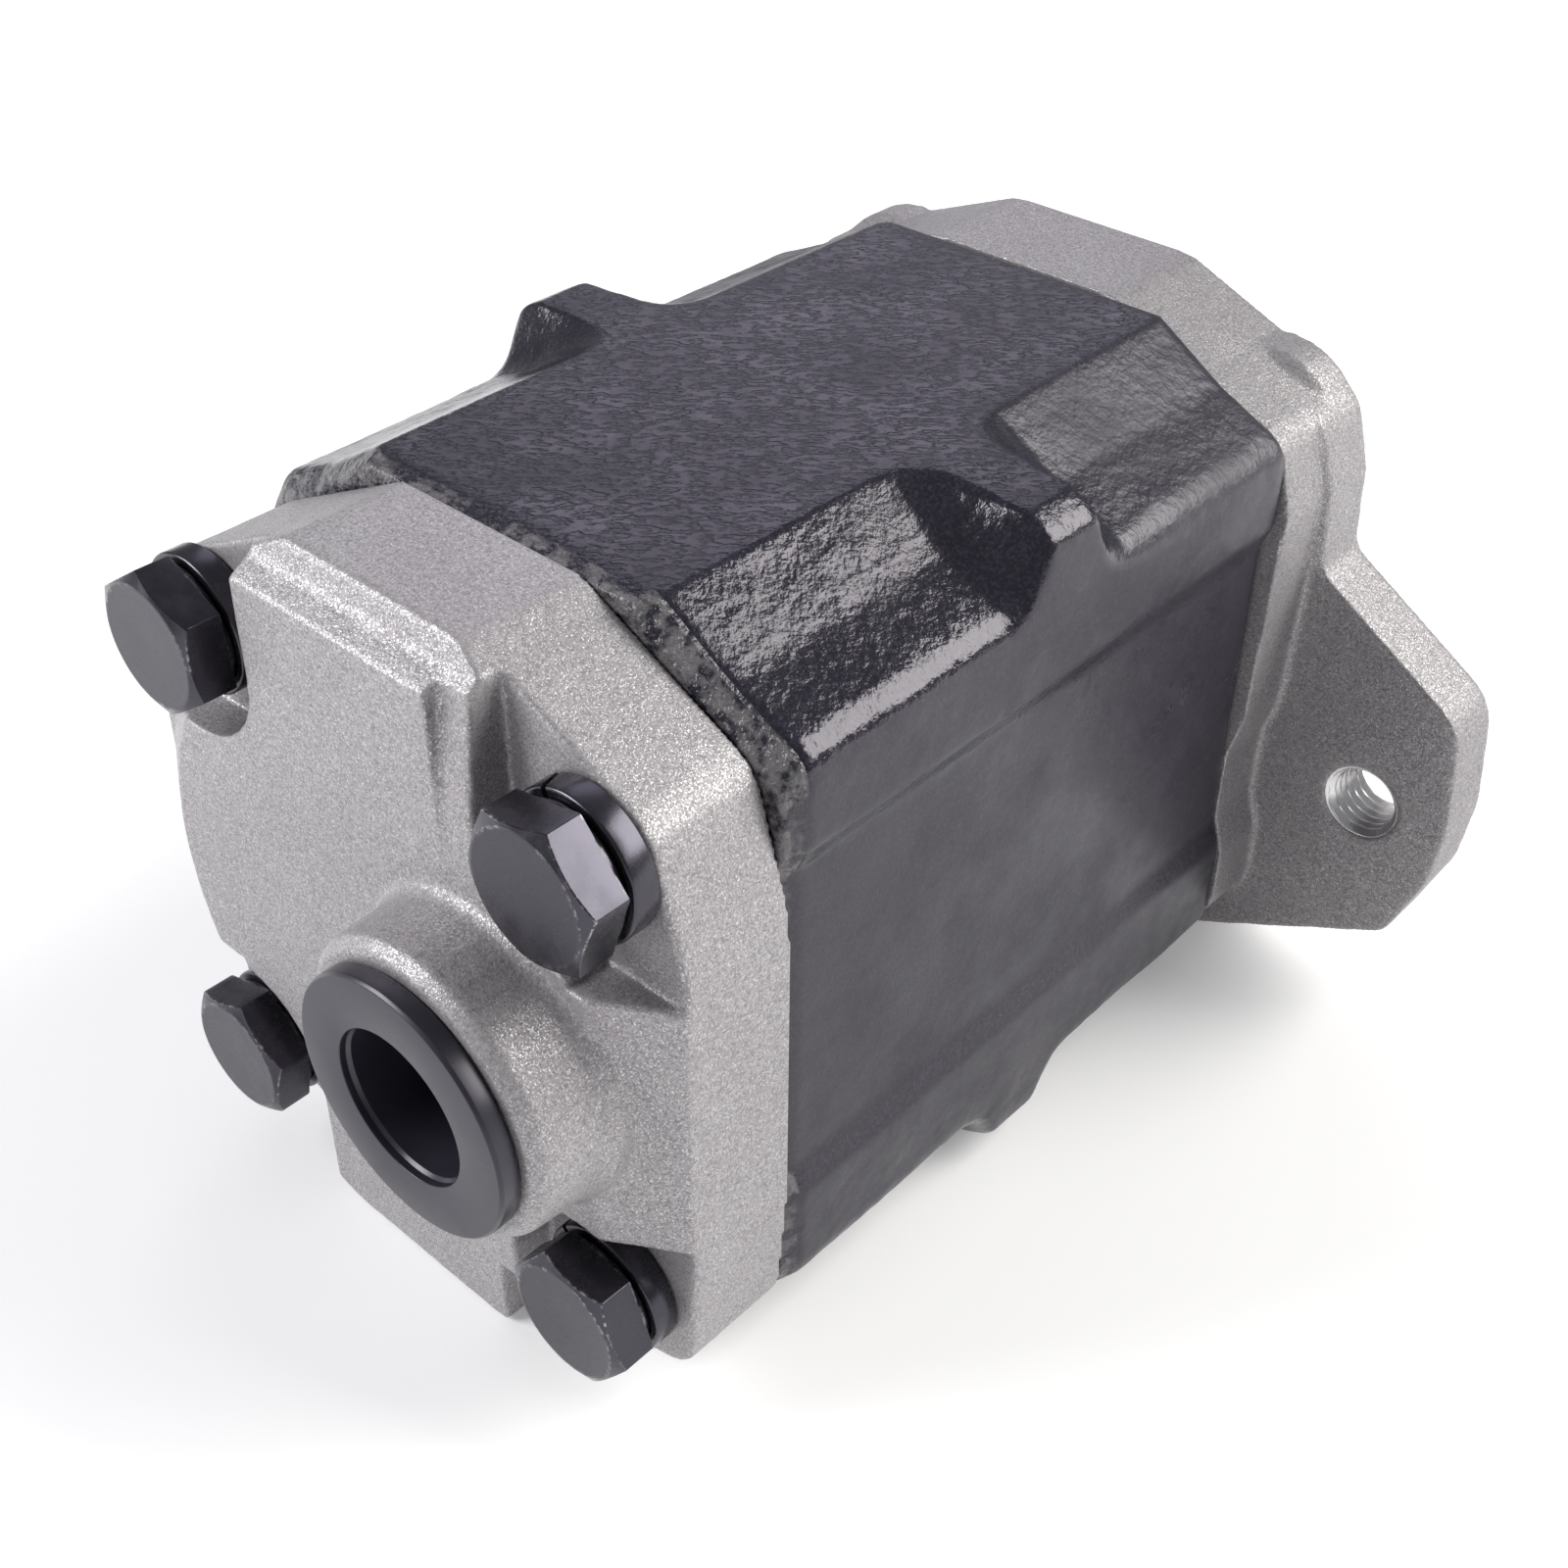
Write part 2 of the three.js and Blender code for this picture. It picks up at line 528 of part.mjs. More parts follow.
const bodySeal = (y0, y1) => racetrackRing(SEAL_HALF_WIDTH, y0, y1);
const lipSeal = () => turned([[JOURNAL_R + GAP, SEAL_SEAT + 2.2], [JOURNAL_R + 2.2, SEAL_SEAT + 1.6],
  [JOURNAL_R + 2.2, SEAL_SEAT + 5.6], [SEAL_R - 2.2, SEAL_SEAT + 5.6], [SEAL_R - 2.2, SEAL_SEAT + 0.4],
  [SEAL_R - GAP, SEAL_SEAT + 0.4], [SEAL_R - GAP, RING_Y[0] - 0.9], [JOURNAL_R + 1.2, RING_Y[0] - 0.9]],
  0, -SHAFT_Z, 28);

function retainingRing() {
  const ring = tube(SEAL_R - 2.6, SEAL_R + RING_GROOVE - GAP, ...RING_Y, 0, -SHAFT_Z, 32);
  return cut(ring, block(-5, 5, ...grown(RING_Y, 1), -SHAFT_Z + 10, -SHAFT_Z + 25));
}

// ---- Fasteners and plugs -----------------------------------------------------------

// Hex bolt with its head corners chamfered on the front; turn is the head's own angle.
function throughBolt(x, z, turn) {
  const cornerR = HEX_FLATS / Math.sqrt(3);
  const prism = rod(cornerR, -HEAD_HEIGHT, 0, 0, 0, 6).rotate([0, turn, 0]);
  const chamfer = turned([[0, -HEAD_HEIGHT - 0.1], [HEX_FLATS / 2 - 0.4, -HEAD_HEIGHT - 0.1],
    [cornerR + 0.1, -HEAD_HEIGHT + 1.1], [cornerR + 0.1, 0], [0, 0]], 0, 0, 18);
  const head = prism.intersect(chamfer);
  const shank = turned([
    [0, -1], [BOLT_R, -1], [BOLT_R, BOLT_END - 1.5], [BOLT_R - 1.5, BOLT_END], [0, BOLT_END],
  ], 0, 0, 14);
  return join(head, shank).translate([x, 0, z]);
}

// Split spring washer; turn places its slit.
function lockWasher(x, z, turn) {
  const ring = tube(BOLT_R + GAP, WASHER_R, GAP, COVER_FRONT - GAP);
  const slit = block(0, WASHER_R + 2, GAP - 1, COVER_FRONT, -0.8, 0.8).rotate([18, 0, 0]);
  return cut(ring, slit).rotate([0, turn, 0]).translate([x, 0, z]);
}

// Hollow push-in transit plug: a flat rim outside, a closed cup inside the port.
function transitPlug(rimR, cupR, holeR, rim, depth) {
  return turned([
    [0, depth - 2], [holeR - 0.6, depth - 2], [holeR - 0.4, -rim + 1.2], [holeR, -rim + 1], [holeR, -rim],
    [rimR - 0.5, -rim], [rimR, -rim + 0.5], [rimR, 0], [cupR, 0], [cupR - 0.5, depth], [0, depth],
  ], 0, 0, 28);
}

// ---- Assembly ----------------------------------------------------------------------

const pump = new THREE.Group();
const casings = new THREE.Group();
casings.add(
  piece('rear_cover', rearCover(), castAluminium),
  piece('gear_housing', gearHousing(), blackPaint),
  piece('mounting_flange', mountingFlange(), castAluminium),
);

// Bolts and washers, named by where they sit when seen from the rear cover.
const HEADS = [
  { place: 'upper_right', sx: 1, sz: 1, turn: 11.8, slit: 118 },
  { place: 'upper_left', sx: -1, sz: 1, turn: 34.4, slit: -60 },
  { place: 'lower_right', sx: 1, sz: -1, turn: 51.4, slit: 140 },
  { place: 'lower_left', sx: -1, sz: -1, turn: 18, slit: 80 },
];
const fasteners = new THREE.Group();
for (const { place, sx, sz, turn, slit } of HEADS) {
  const [x, z] = [sx * BOLT_X, sz * BOLT_Z];
  fasteners.add(
    piece(`through_bolt_${place}`, throughBolt(x, z, -turn), blackSteel),
    piece(`lock_washer_${place}`, lockWasher(x, z, -slit), blackSteel),
  );
}

function dowel([x, z], joint) {
  const [y0, y1] = [joint - DOWEL_REACH, joint + DOWEL_REACH];
  return turned([
    [0, y0], [DOWEL_R - 0.5, y0], [DOWEL_R, y0 + 0.5], [DOWEL_R, y1 - 0.5], [DOWEL_R - 0.5, y1], [0, y1],
  ], x, z, 10);
}
for (const [end, joint] of [['rear', HOUSING_FRONT], ['front', FLANGE_FRONT]]) {
  fasteners.add(
    piece(`${end}_dowel_lower`, dowel(DOWELS[0], joint), gearSteel),
    piece(`${end}_dowel_upper`, dowel(DOWELS[1], joint), gearSteel),
  );
}

const suctionPlug = transitPlug(PLUG_FLANGE_R, PORT_R - GAP, PLUG_HOLE_R, PLUG_RIM, PLUG_DEPTH)
  .translate([PORT_X, BOSS_FRONT - GAP, PORT_Z]);
const outletPlug = transitPlug(OUTLET_PLUG_R, OUTLET_R - GAP, OUTLET_HOLE_R, OUTLET_RIM, OUTLET_PLUG_DEPTH)
  .rotate([0, 0, -90]).translate([-HOUSING_HALF_WIDTH - GAP, OUTLET_Y, 0]);
const plugs = new THREE.Group();
plugs.add(
  piece('suction_port_plug', suctionPlug, blackPlastic),
  piece('pressure_port_plug', outletPlug, blackPlastic),
);

const REAR_BLOCK = [HOUSING_FRONT + 0.6, GEAR_FRONT];
const FRONT_BLOCK = [GEAR_REAR, FLANGE_FRONT - 0.6];
const bearings = new THREE.Group();
const BEARING_ENDS = [
  { end: 'rear', span: REAR_BLOCK, sealFace: REAR_BLOCK[0], inward: 1 },
  { end: 'front', span: FRONT_BLOCK, sealFace: FRONT_BLOCK[1], inward: -1 },
];
for (const { end, span: [y0, y1], sealFace, inward } of BEARING_ENDS) {
  const sealEnds = [sealFace + inward * 0.1, sealFace + inward * 1.5].sort((a, b) => a - b);
  bearings.add(
    piece(`${end}_bearing_block`, bearingBlock(y0, y1, sealFace), castAluminium),
    piece(`${end}_drive_bush`, bush(y0 + 1, y1 - 1, -SHAFT_Z), bearingBronze),
    piece(`${end}_driven_bush`, bush(y0 + 1, y1 - 1, SHAFT_Z), bearingBronze),
    piece(`${end}_balance_seal`, balanceSeal(...sealEnds), sealRubber),
  );
}

const seals = new THREE.Group();
seals.add(
  piece('rear_body_seal', bodySeal(HOUSING_FRONT - 2.2, HOUSING_FRONT - 0.2), sealRubber),
  piece('front_body_seal', bodySeal(FLANGE_FRONT + 0.2, FLANGE_FRONT + 2.2), sealRubber),
  piece('shaft_seal', lipSeal(), sealRubber),
  piece('seal_retaining_ring', retainingRing(), blackSteel),
);

const rotors = new THREE.Group();
rotors.add(
  piece('drive_gear_shaft', driveGearShaft(), gearSteel),
  piece('driven_gear_shaft', drivenGearShaft(), gearSteel),
  piece('shaft_key', shaftKey(), gearSteel),
);

pump.add(casings, fasteners, plugs, bearings, seals, rotors);

// Stand the pump on its lower faces, with the middle of its length over the origin.
const PLUG_FRONT = BOSS_FRONT - GAP - PLUG_RIM;
pump.position.set(0, -(PLUG_FRONT + SHAFT_END) / 2, HALF_HEIGHT);

export default pump;
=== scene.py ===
"""Looks of the hydraulic gear pump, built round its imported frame.

The castings are remeshed from the frame's own solids, so that their edges become cast edges.
Bolts, washers, plugs, shafts and seals are rebuilt at full detail in their places.
Lengths are in metres; millimetres are multiplied by MM.
"""

import json
from math import acos, atan, cos, pi, radians, sin, sqrt, tan

import bmesh
import bpy
import numpy as np
from mathutils import Matrix, Vector, noise


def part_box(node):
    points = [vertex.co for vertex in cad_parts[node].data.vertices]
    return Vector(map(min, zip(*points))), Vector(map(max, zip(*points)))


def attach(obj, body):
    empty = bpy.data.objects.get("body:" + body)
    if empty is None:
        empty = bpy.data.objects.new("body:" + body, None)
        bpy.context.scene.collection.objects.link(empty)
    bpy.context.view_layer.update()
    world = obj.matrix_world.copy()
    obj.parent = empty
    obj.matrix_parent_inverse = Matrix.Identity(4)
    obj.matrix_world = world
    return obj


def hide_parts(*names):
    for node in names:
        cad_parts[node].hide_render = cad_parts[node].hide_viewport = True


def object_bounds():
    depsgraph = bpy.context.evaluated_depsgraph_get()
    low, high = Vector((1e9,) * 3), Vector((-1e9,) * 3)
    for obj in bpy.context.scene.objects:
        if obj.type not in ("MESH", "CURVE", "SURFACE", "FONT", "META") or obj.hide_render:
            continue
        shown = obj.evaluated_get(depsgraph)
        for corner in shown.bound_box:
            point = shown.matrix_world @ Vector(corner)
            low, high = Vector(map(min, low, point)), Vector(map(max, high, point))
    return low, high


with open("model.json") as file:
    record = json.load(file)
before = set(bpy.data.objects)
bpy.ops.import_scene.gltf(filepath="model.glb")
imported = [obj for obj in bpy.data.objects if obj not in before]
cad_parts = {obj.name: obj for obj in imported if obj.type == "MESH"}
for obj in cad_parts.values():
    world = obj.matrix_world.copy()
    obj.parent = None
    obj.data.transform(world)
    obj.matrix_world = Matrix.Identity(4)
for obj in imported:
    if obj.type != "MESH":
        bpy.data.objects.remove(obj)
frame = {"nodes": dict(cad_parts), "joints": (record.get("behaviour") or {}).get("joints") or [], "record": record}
cad_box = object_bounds()

MM = 0.001
BODY = "housing"
AXES = {joint["name"]: Vector(joint["pos_m"]) for joint in frame["joints"]}
DRIVE_Z = AXES["drive_spin"].z
DRIVEN_Z = AXES["driven_spin"].z


# ---- Camera ---------------------------------------------------------------------------

AZIMUTH = radians(42.05)
ELEVATION = radians(37.69)
ROLL = radians(0.56)
DISTANCE = 320.5 * MM
FOCAL_LENGTH = 46.35
SENSOR_WIDTH = 36
AIM_OFFSET = Vector((1.1, -11.1, -11.7)) * MM   # from the middle of the box


def make_camera():
    low, high = cad_box
    aim = (low + high) / 2 + AIM_OFFSET
    back = Vector((sin(AZIMUTH) * cos(ELEVATION), -cos(AZIMUTH) * cos(ELEVATION), sin(ELEVATION)))
    data = bpy.data.cameras.new("camera")
    data.lens = FOCAL_LENGTH
    data.sensor_width = SENSOR_WIDTH
    camera = bpy.data.objects.new("camera", data)
    camera.location = aim + back * DISTANCE
    turn = (-back).to_track_quat("-Z", "Y").to_matrix() @ Matrix.Rotation(ROLL, 3, "Z")
    camera.rotation_euler = turn.to_euler()
    bpy.context.collection.objects.link(camera)
    bpy.context.scene.camera = camera


# ---- Stage and light --------------------------------------------------------------------

FLOOR_SIZE = 60             # metres, so that its far edge stays out of the way in low views
FLOOR_GAP = 0.2 * MM        # below the pump's underside
FLOOR_GLOW = 0.17           # keeps the floor pale where the lamps don't reach
WORLD_STRENGTH = 0.26


def area_light(name, direction, distance, size, power, color=(1, 1, 1), long_side=(0, 0, 1)):
    """A softbox that faces the pump; size is across and along its long side."""
    data = bpy.data.lights.new(name, "AREA")
    data.shape = "RECTANGLE"
    data.size, data.size_y = size
    data.energy = power
    data.color = color
    light = bpy.data.objects.new(name, data)
    away = Vector(direction).normalized()
    light.location = (cad_box[0] + cad_box[1]) / 2 + away * distance
    along = Vector(long_side)
    along = (along - away * along.dot(away)).normalized()
    light.rotation_euler = Matrix((along.cross(away), along, away)).transposed().to_euler()
    bpy.context.collection.objects.link(light)


def make_stage():
    bpy.ops.mesh.primitive_plane_add(size=FLOOR_SIZE, location=(0, 0, cad_box[0].z - FLOOR_GAP))
    floor = bpy.context.object
    floor.name = "floor"
    paint = Shader("pale_floor")
    paint.principled["Base Color"].default_value = (0.93, 0.93, 0.935, 1)
    paint.principled["Roughness"].default_value = 0.85
    paint.principled["Specular IOR Level"].default_value = 0.1
    paint.principled["Emission Color"].default_value = (1, 1, 1, 1)
    paint.principled["Emission Strength"].default_value = FLOOR_GLOW
    floor.data.materials.append(paint.material)

    world = bpy.data.worlds.new("studio")
    bpy.context.scene.world = world
    world.use_nodes = True
    background = world.node_tree.nodes["Background"]
    background.inputs["Color"].default_value = (0.93, 0.95, 1.0, 1)
    background.inputs["Strength"].default_value = WORLD_STRENGTH

    area_light("right_softbox", (0.575, 0.588, 0.572), 1.3, (0.8, 1.05), 20.5,
               (1.0, 0.985, 0.945), long_side=(0.656, 0, -0.714))
    area_light("left_softbox", (-0.60, -0.65, 0.50), 1.5, (0.72, 0.72), 19.6)
    area_light("top_panel", (-0.53, 0.59, 0.61), 1.5, (0.8, 0.8), 3.0, (0.88, 0.83, 1))
    bpy.context.scene.view_settings.view_transform = "Standard"


# ---- Shaders ----------------------------------------------------------------------------

class Shader:
    """A Principled material and short ways to add nodes to it."""

    def __init__(self, name):
        self.material = bpy.data.materials.new(name)
        self.material.use_nodes = True
        self.tree = self.material.node_tree
        self.principled = self.tree.nodes["Principled BSDF"].inputs
        self.coords = self.add("ShaderNodeTexCoord").outputs["Object"]

    def add(self, kind, **properties):
        node = self.tree.nodes.new(kind)
        for key, value in properties.items():
            setattr(node, key, value)
        return node

    def put(self, socket, value):
        """Links a socket's output, or sets a plain value."""
        if isinstance(value, bpy.types.NodeSocket):
            self.tree.links.new(value, socket)
        else:
            socket.default_value = value

    def stretched(self, scale, turn=(0, 0, 0)):
        """Coordinates scaled along turned axes, for grain with a direction."""
        node = self.add("ShaderNodeMapping", vector_type="TEXTURE")
        node.inputs["Scale"].default_value = [1 / s for s in scale]
        node.inputs["Rotation"].default_value = turn
        self.put(node.inputs["Vector"], self.coords)
        return node.outputs["Vector"]

    def noise(self, scale, detail=2.0, roughness=0.5, vector=None):
        """Noise from 0 to 1; scale counts its lumps in a metre."""
        node = self.add("ShaderNodeTexNoise")
        self.put(node.inputs["Vector"], vector or self.coords)
        node.inputs["Scale"].default_value = scale
        node.inputs["Detail"].default_value = detail
        node.inputs["Roughness"].default_value = roughness
        return node.outputs["Fac"]

    def math(self, operation, a, b=0.0, clamp=False):
        node = self.add("ShaderNodeMath", operation=operation, use_clamp=clamp)
        self.put(node.inputs[0], a)
        self.put(node.inputs[1], b)
        return node.outputs[0]

    def spread(self, value, low, high, to_low=0.0, to_high=1.0, smooth=False):
        """Maps low..high to to_low..to_high, clamped."""
        node = self.add("ShaderNodeMapRange", interpolation_type="SMOOTHSTEP" if smooth else "LINEAR")
        for socket, number in zip(node.inputs[:5], (value, low, high, to_low, to_high)):
            self.put(socket, number)
        return node.outputs["Result"]

    def mix(self, amount, a, b):
        """Colour a where amount is 0, b where it is 1."""
        node = self.add("ShaderNodeMix", data_type="RGBA")
        self.put(node.inputs[0], amount)
        for socket, color in ((node.inputs[6], a), (node.inputs[7], b)):
            self.put(socket, (*color, 1) if isinstance(color, tuple) else color)
        return node.outputs[2]

    def blend(self, amount, a, b):
        """Number a where amount is 0, b where it is 1."""
        node = self.add("ShaderNodeMix", data_type="FLOAT")
        self.put(node.inputs[0], amount)
        self.put(node.inputs[2], a)
        self.put(node.inputs[3], b)
        return node.outputs[0]

    def normal_part(self, axis):
        """One part of the surface normal, in the row's frame."""
        split = self.add("ShaderNodeSeparateXYZ")
        self.put(split.inputs[0], self.add("ShaderNodeNewGeometry").outputs["Normal"])
        return split.outputs[axis]

    def position_part(self, axis):
        """One part of the place on the surface, in the row's frame."""
        split = self.add("ShaderNodeSeparateXYZ")
        self.put(split.inputs[0], self.coords)
        return split.outputs[axis]

    def ring_marks(self, scale, detail=2.0):
        """Fine lines round the drive shaft's axis: rings on end faces, hoops on round sides."""
        part = self.add("ShaderNodeVectorMath", operation="SUBTRACT")
        self.put(part.inputs[0], self.coords)
        part.inputs[1].default_value = (0, 0, DRIVE_Z)
        flat = self.add("ShaderNodeVectorMath", operation="MULTIPLY")
        self.put(flat.inputs[0], part.outputs[0])
        flat.inputs[1].default_value = (1, 0, 1)
        reach = self.add("ShaderNodeVectorMath", operation="LENGTH")
        self.put(reach.inputs[0], flat.outputs[0])
        facing = self.spread(self.math("ABSOLUTE", self.normal_part("Y")), 0.6, 0.75)
        where = self.blend(facing, self.position_part("Y"), reach.outputs["Value"])
        node = self.add("ShaderNodeTexNoise", noise_dimensions="1D")
        self.put(node.inputs["W"], where)
        node.inputs["Scale"].default_value = scale
        node.inputs["Detail"].default_value = detail
        return node.outputs["Fac"]

    def attribute(self, name):
        """A number stored on the mesh's points."""
        return self.add("ShaderNodeAttribute", attribute_name=name).outputs["Fac"]

    def bump(self, layers):
        """layers are (height 0..1, real height in metres)."""
        normal = None
        for height, distance in layers:
            node = self.add("ShaderNodeBump")
            node.inputs["Strength"].default_value = 1.0
            node.inputs["Distance"].default_value = distance
            self.put(node.inputs["Height"], height)
            if normal:
                self.put(node.inputs["Normal"], normal)
            normal = node.outputs["Normal"]
        self.put(self.principled["Normal"], normal)


def shades(tone, *colors):
    """The colours, darkened by tone."""
    return [tuple(tone * part for part in color) for color in colors]


def cast_aluminium(name="cast_aluminium", tone=1.0):
    """Sand-blasted casting: pale, matt, with a fine sparkle and faint clouds."""
    paint = Shader(name)
    # tone below 1 darkens all these colours as painted shade; only the flange's copy uses it
    warm, cool, pit, glint = shades(tone, (0.342, 0.32, 0.338), (0.375, 0.357, 0.37),
                                    (0.225, 0.216, 0.223), (0.8, 0.79, 0.79))
    grain = paint.noise(1700, 3, 0.7)
    sparkle = paint.noise(3600, 2, 0.7)
    cloud = paint.noise(60, 3, 0.55)
    base = paint.mix(paint.spread(cloud, 0.35, 0.65), warm, cool)
    dark = paint.mix(paint.spread(grain, 0.36, 0.56), pit, base)
    fleck = paint.spread(sparkle, 0.52, 0.76)
    paint.put(paint.principled["Base Color"], paint.mix(fleck, dark, glint))
    paint.put(paint.principled["Metallic"], paint.spread(fleck, 0, 1, 0.3, 0.95))
    paint.put(paint.principled["Roughness"], paint.spread(sparkle, 0.35, 0.7, 0.58, 0.3))
    paint.bump([(paint.noise(500, 2, 0.5), 0.04 * MM), (grain, 0.1 * MM), (sparkle, 0.05 * MM)])
    return paint.material


def machined_aluminium(name="machined_aluminium", tone=1.0):
    """Turned aluminium: fine rings round the drive axis, a little cloudy."""
    paint = Shader(name)
    grey, pale = shades(tone, (0.62, 0.61, 0.62), (0.86, 0.85, 0.85))
    ring = paint.ring_marks(5200)
    broad = paint.ring_marks(700, 1)
    cloud = paint.noise(45, 2, 0.5)
    bright = paint.mix(paint.spread(ring, 0.3, 0.7), grey, pale)
    dull = paint.mix(paint.spread(cloud, 0.4, 0.7, 0.0, 0.45), bright, grey)
    band = paint.spread(broad, 0.35, 0.65, 0.0, 0.4)
    paint.put(paint.principled["Base Color"], paint.mix(band, dull, bright))
    paint.principled["Metallic"].default_value = 1.0
    paint.put(paint.principled["Roughness"], paint.spread(ring, 0.3, 0.7, 0.28, 0.44))
    paint.bump([(ring, 0.016 * MM), (broad, 0.02 * MM)])
    return paint.material


STRIP_START, STRIP_END = 2.8 * MM, 3.3 * MM   # the strip behind the cover, rougher and with grey patches of painted light, fades between these
REAR_GLOSS_END = 25 * MM                      # before the flange end of the housing


def black_paint():
    """Gloss black over a rough casting; the flat faces are smoother, the top has shallow pits."""
    paint = Shader("black_paint")
    low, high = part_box("gear_housing")
    top = paint.spread(paint.normal_part("Z"), 0.965, 0.992, smooth=True)
    side = paint.spread(paint.math("ABSOLUTE", paint.normal_part("X")), 0.9, 0.985, smooth=True)
    flat = paint.math("ADD", top, side, clamp=True)
    along = paint.position_part("Y")
    near_cover = paint.spread(along, low.y + STRIP_START, low.y + STRIP_END, 1.0, 0.0)
    strip = paint.math("MULTIPLY", near_cover, paint.spread(flat, 0.0, 0.5, 1.0, 0.0))
    rear = paint.spread(along, (low.y + high.y) / 2, high.y - REAR_GLOSS_END, smooth=True)

    pebble = paint.noise(820, 2.5, 0.55)
    wrinkle = paint.noise(1900, 2, 0.6)
    speck = paint.noise(4200, 2, 0.6)
    pits = paint.noise(1.0, 2.5, 0.55, paint.stretched((420, 950, 700), (0, 0, radians(42))))
    pit_depth = paint.spread(pits, 0.34, 0.56, 0.0, 1.0, smooth=True)
    marks = paint.noise(1.0, 1, 0.5, paint.stretched((60, 2400, 900), (0, 0, radians(-24))))
    zone = paint.spread(paint.noise(30, 2, 0.5), 0.46, 0.62, smooth=True)
    drawn = paint.math("MULTIPLY", paint.math("MULTIPLY", marks, zone), top)

    dull = paint.noise(75, 4, 0.62)
    wet = paint.spread(dull, 0.3, 0.7, 0.14, 0.22)
    dusty = paint.spread(dull, 0.3, 0.7, 0.32, 0.46)
    gloss = paint.blend(rear, wet, dusty)
    satin = paint.spread(dull, 0.34, 0.66, 0.24, 0.46)
    paint.put(paint.principled["Roughness"], paint.blend(strip, paint.blend(flat, gloss, satin), 0.3))
    wear = paint.spread(wrinkle, 0.45, 0.75)
    black = paint.mix(wear, (0.010, 0.009, 0.015), (0.032, 0.029, 0.044))
    # grey patches on the strip: painted light, standing in for the light its rough black paint catches
    strip_painted_light = paint.math("MULTIPLY", strip, paint.spread(paint.noise(420, 3, 0.6), 0.42, 0.56))
    paint.put(paint.principled["Base Color"], paint.mix(strip_painted_light, black, (0.135, 0.13, 0.132)))
    paint.principled["Specular IOR Level"].default_value = 0.58
    paint.principled["Specular Tint"].default_value = (0.96, 0.92, 1.0, 1)

    rough = paint.blend(strip, paint.spread(flat, 0, 1, 1.0, 0.2), 4.0)
    coarse = paint.math("MULTIPLY", pebble, rough)
    fine = paint.math("MULTIPLY", wrinkle, rough)
    dust = paint.math("MULTIPLY", speck, paint.spread(flat, 0, 1, 1.0, 0.5))
    dents = paint.math("MULTIPLY", pit_depth, top)
    paint.bump([(coarse, 0.14 * MM), (fine, 0.04 * MM), (dust, 0.012 * MM), (dents, 0.13 * MM),
                (drawn, 0.03 * MM)])
    return paint.material


def black_steel():
    """Black oxide: near black, satin, rubbed to grey along the edges."""
    paint = Shader("black_steel")
    smear = paint.noise(260, 4, 0.65)
    fine = paint.noise(2400, 2, 0.6)
    edge = paint.attribute("edge")
    worn = paint.math("MULTIPLY", paint.spread(paint.noise(1100, 3, 0.7), 0.47, 0.6),
                      paint.spread(paint.noise(130, 2, 0.5), 0.42, 0.6))
    rub = paint.math("MULTIPLY", edge, worn, clamp=True)
    body = paint.mix(smear, (0.05, 0.047, 0.059), (0.08, 0.077, 0.092))
    paint.put(paint.principled["Base Color"], paint.mix(rub, body, (0.42, 0.41, 0.42)))
    paint.principled["Metallic"].default_value = 0.9
    paint.put(paint.principled["Roughness"], paint.spread(smear, 0.3, 0.7, 0.2, 0.34))
    paint.bump([(smear, 0.012 * MM), (fine, 0.006 * MM)])
    return paint.material


def black_plastic():
    """Moulded plastic of the transit plugs, satin."""
    paint = Shader("black_plastic")
    cloud = paint.noise(120, 3, 0.5)
    fine = paint.noise(3000, 2, 0.5)
    paint.put(paint.principled["Base Color"], paint.mix(cloud, (0.016, 0.015, 0.023), (0.026, 0.025, 0.036)))
    paint.principled["Specular Tint"].default_value = (0.95, 0.91, 1.0, 1)
    paint.put(paint.principled["Roughness"], paint.spread(cloud, 0.3, 0.7, 0.26, 0.38))
    paint.bump([(cloud, 0.03 * MM), (fine, 0.004 * MM)])
    return paint.material


def ground_steel():
    """Gears and shafts: bright, with grinding lines round the axis."""
    paint = Shader("ground_steel")
    ring = paint.ring_marks(9000, 3)
    stain = paint.noise(90, 3, 0.6)
    paint.put(paint.principled["Base Color"], paint.mix(stain, (0.42, 0.42, 0.43), (0.58, 0.58, 0.58)))
    paint.principled["Metallic"].default_value = 1.0
    paint.put(paint.principled["Roughness"], paint.spread(ring, 0.3, 0.7, 0.18, 0.34))
    paint.bump([(ring, 0.005 * MM)])
    return paint.material


def bronze():
    """Bearing blocks and bushes."""
    paint = Shader("bearing_bronze")
    stain = paint.noise(160, 3, 0.6)
    ring = paint.noise(1.0, 2, 0.6, paint.stretched((300, 9000, 300)))
    paint.put(paint.principled["Base Color"], paint.mix(stain, (0.44, 0.27, 0.11), (0.6, 0.4, 0.19)))
    paint.principled["Metallic"].default_value = 1.0
    paint.put(paint.principled["Roughness"], paint.spread(ring, 0.3, 0.7, 0.25, 0.42))
    paint.bump([(ring, 0.006 * MM)])
    return paint.material


def rubber():
    """Seals: matt black with a faint bloom."""
    paint = Shader("seal_rubber")
    bloom = paint.noise(240, 3, 0.6)
    paint.put(paint.principled["Base Color"], paint.mix(bloom, (0.012, 0.012, 0.012), (0.03, 0.03, 0.03)))
    paint.put(paint.principled["Roughness"], paint.spread(bloom, 0.3, 0.7, 0.5, 0.72))
    paint.bump([(bloom, 0.02 * MM)])
    return paint.material


MATERIALS = {
    "cast_aluminium": cast_aluminium(),
    # a darker copy of the cast aluminium for the flange: painted shade, as the flange sits behind the housing and
    # gets less lamp light
    "flange_aluminium_painted_shade": cast_aluminium("flange_aluminium_painted_shade", 0.83),
    "machined_aluminium": machined_aluminium(),
    "faced_aluminium": machined_aluminium("faced_aluminium", 0.62),
    "black_paint": black_paint(),
    "black_steel": black_steel(),
    "black_plastic": black_plastic(),
    "gear_steel": ground_steel(),
    "bearing_bronze": bronze(),
    "seal_rubber": rubber(),
}


# ---- Mesh helpers -----------------------------------------------------------------------

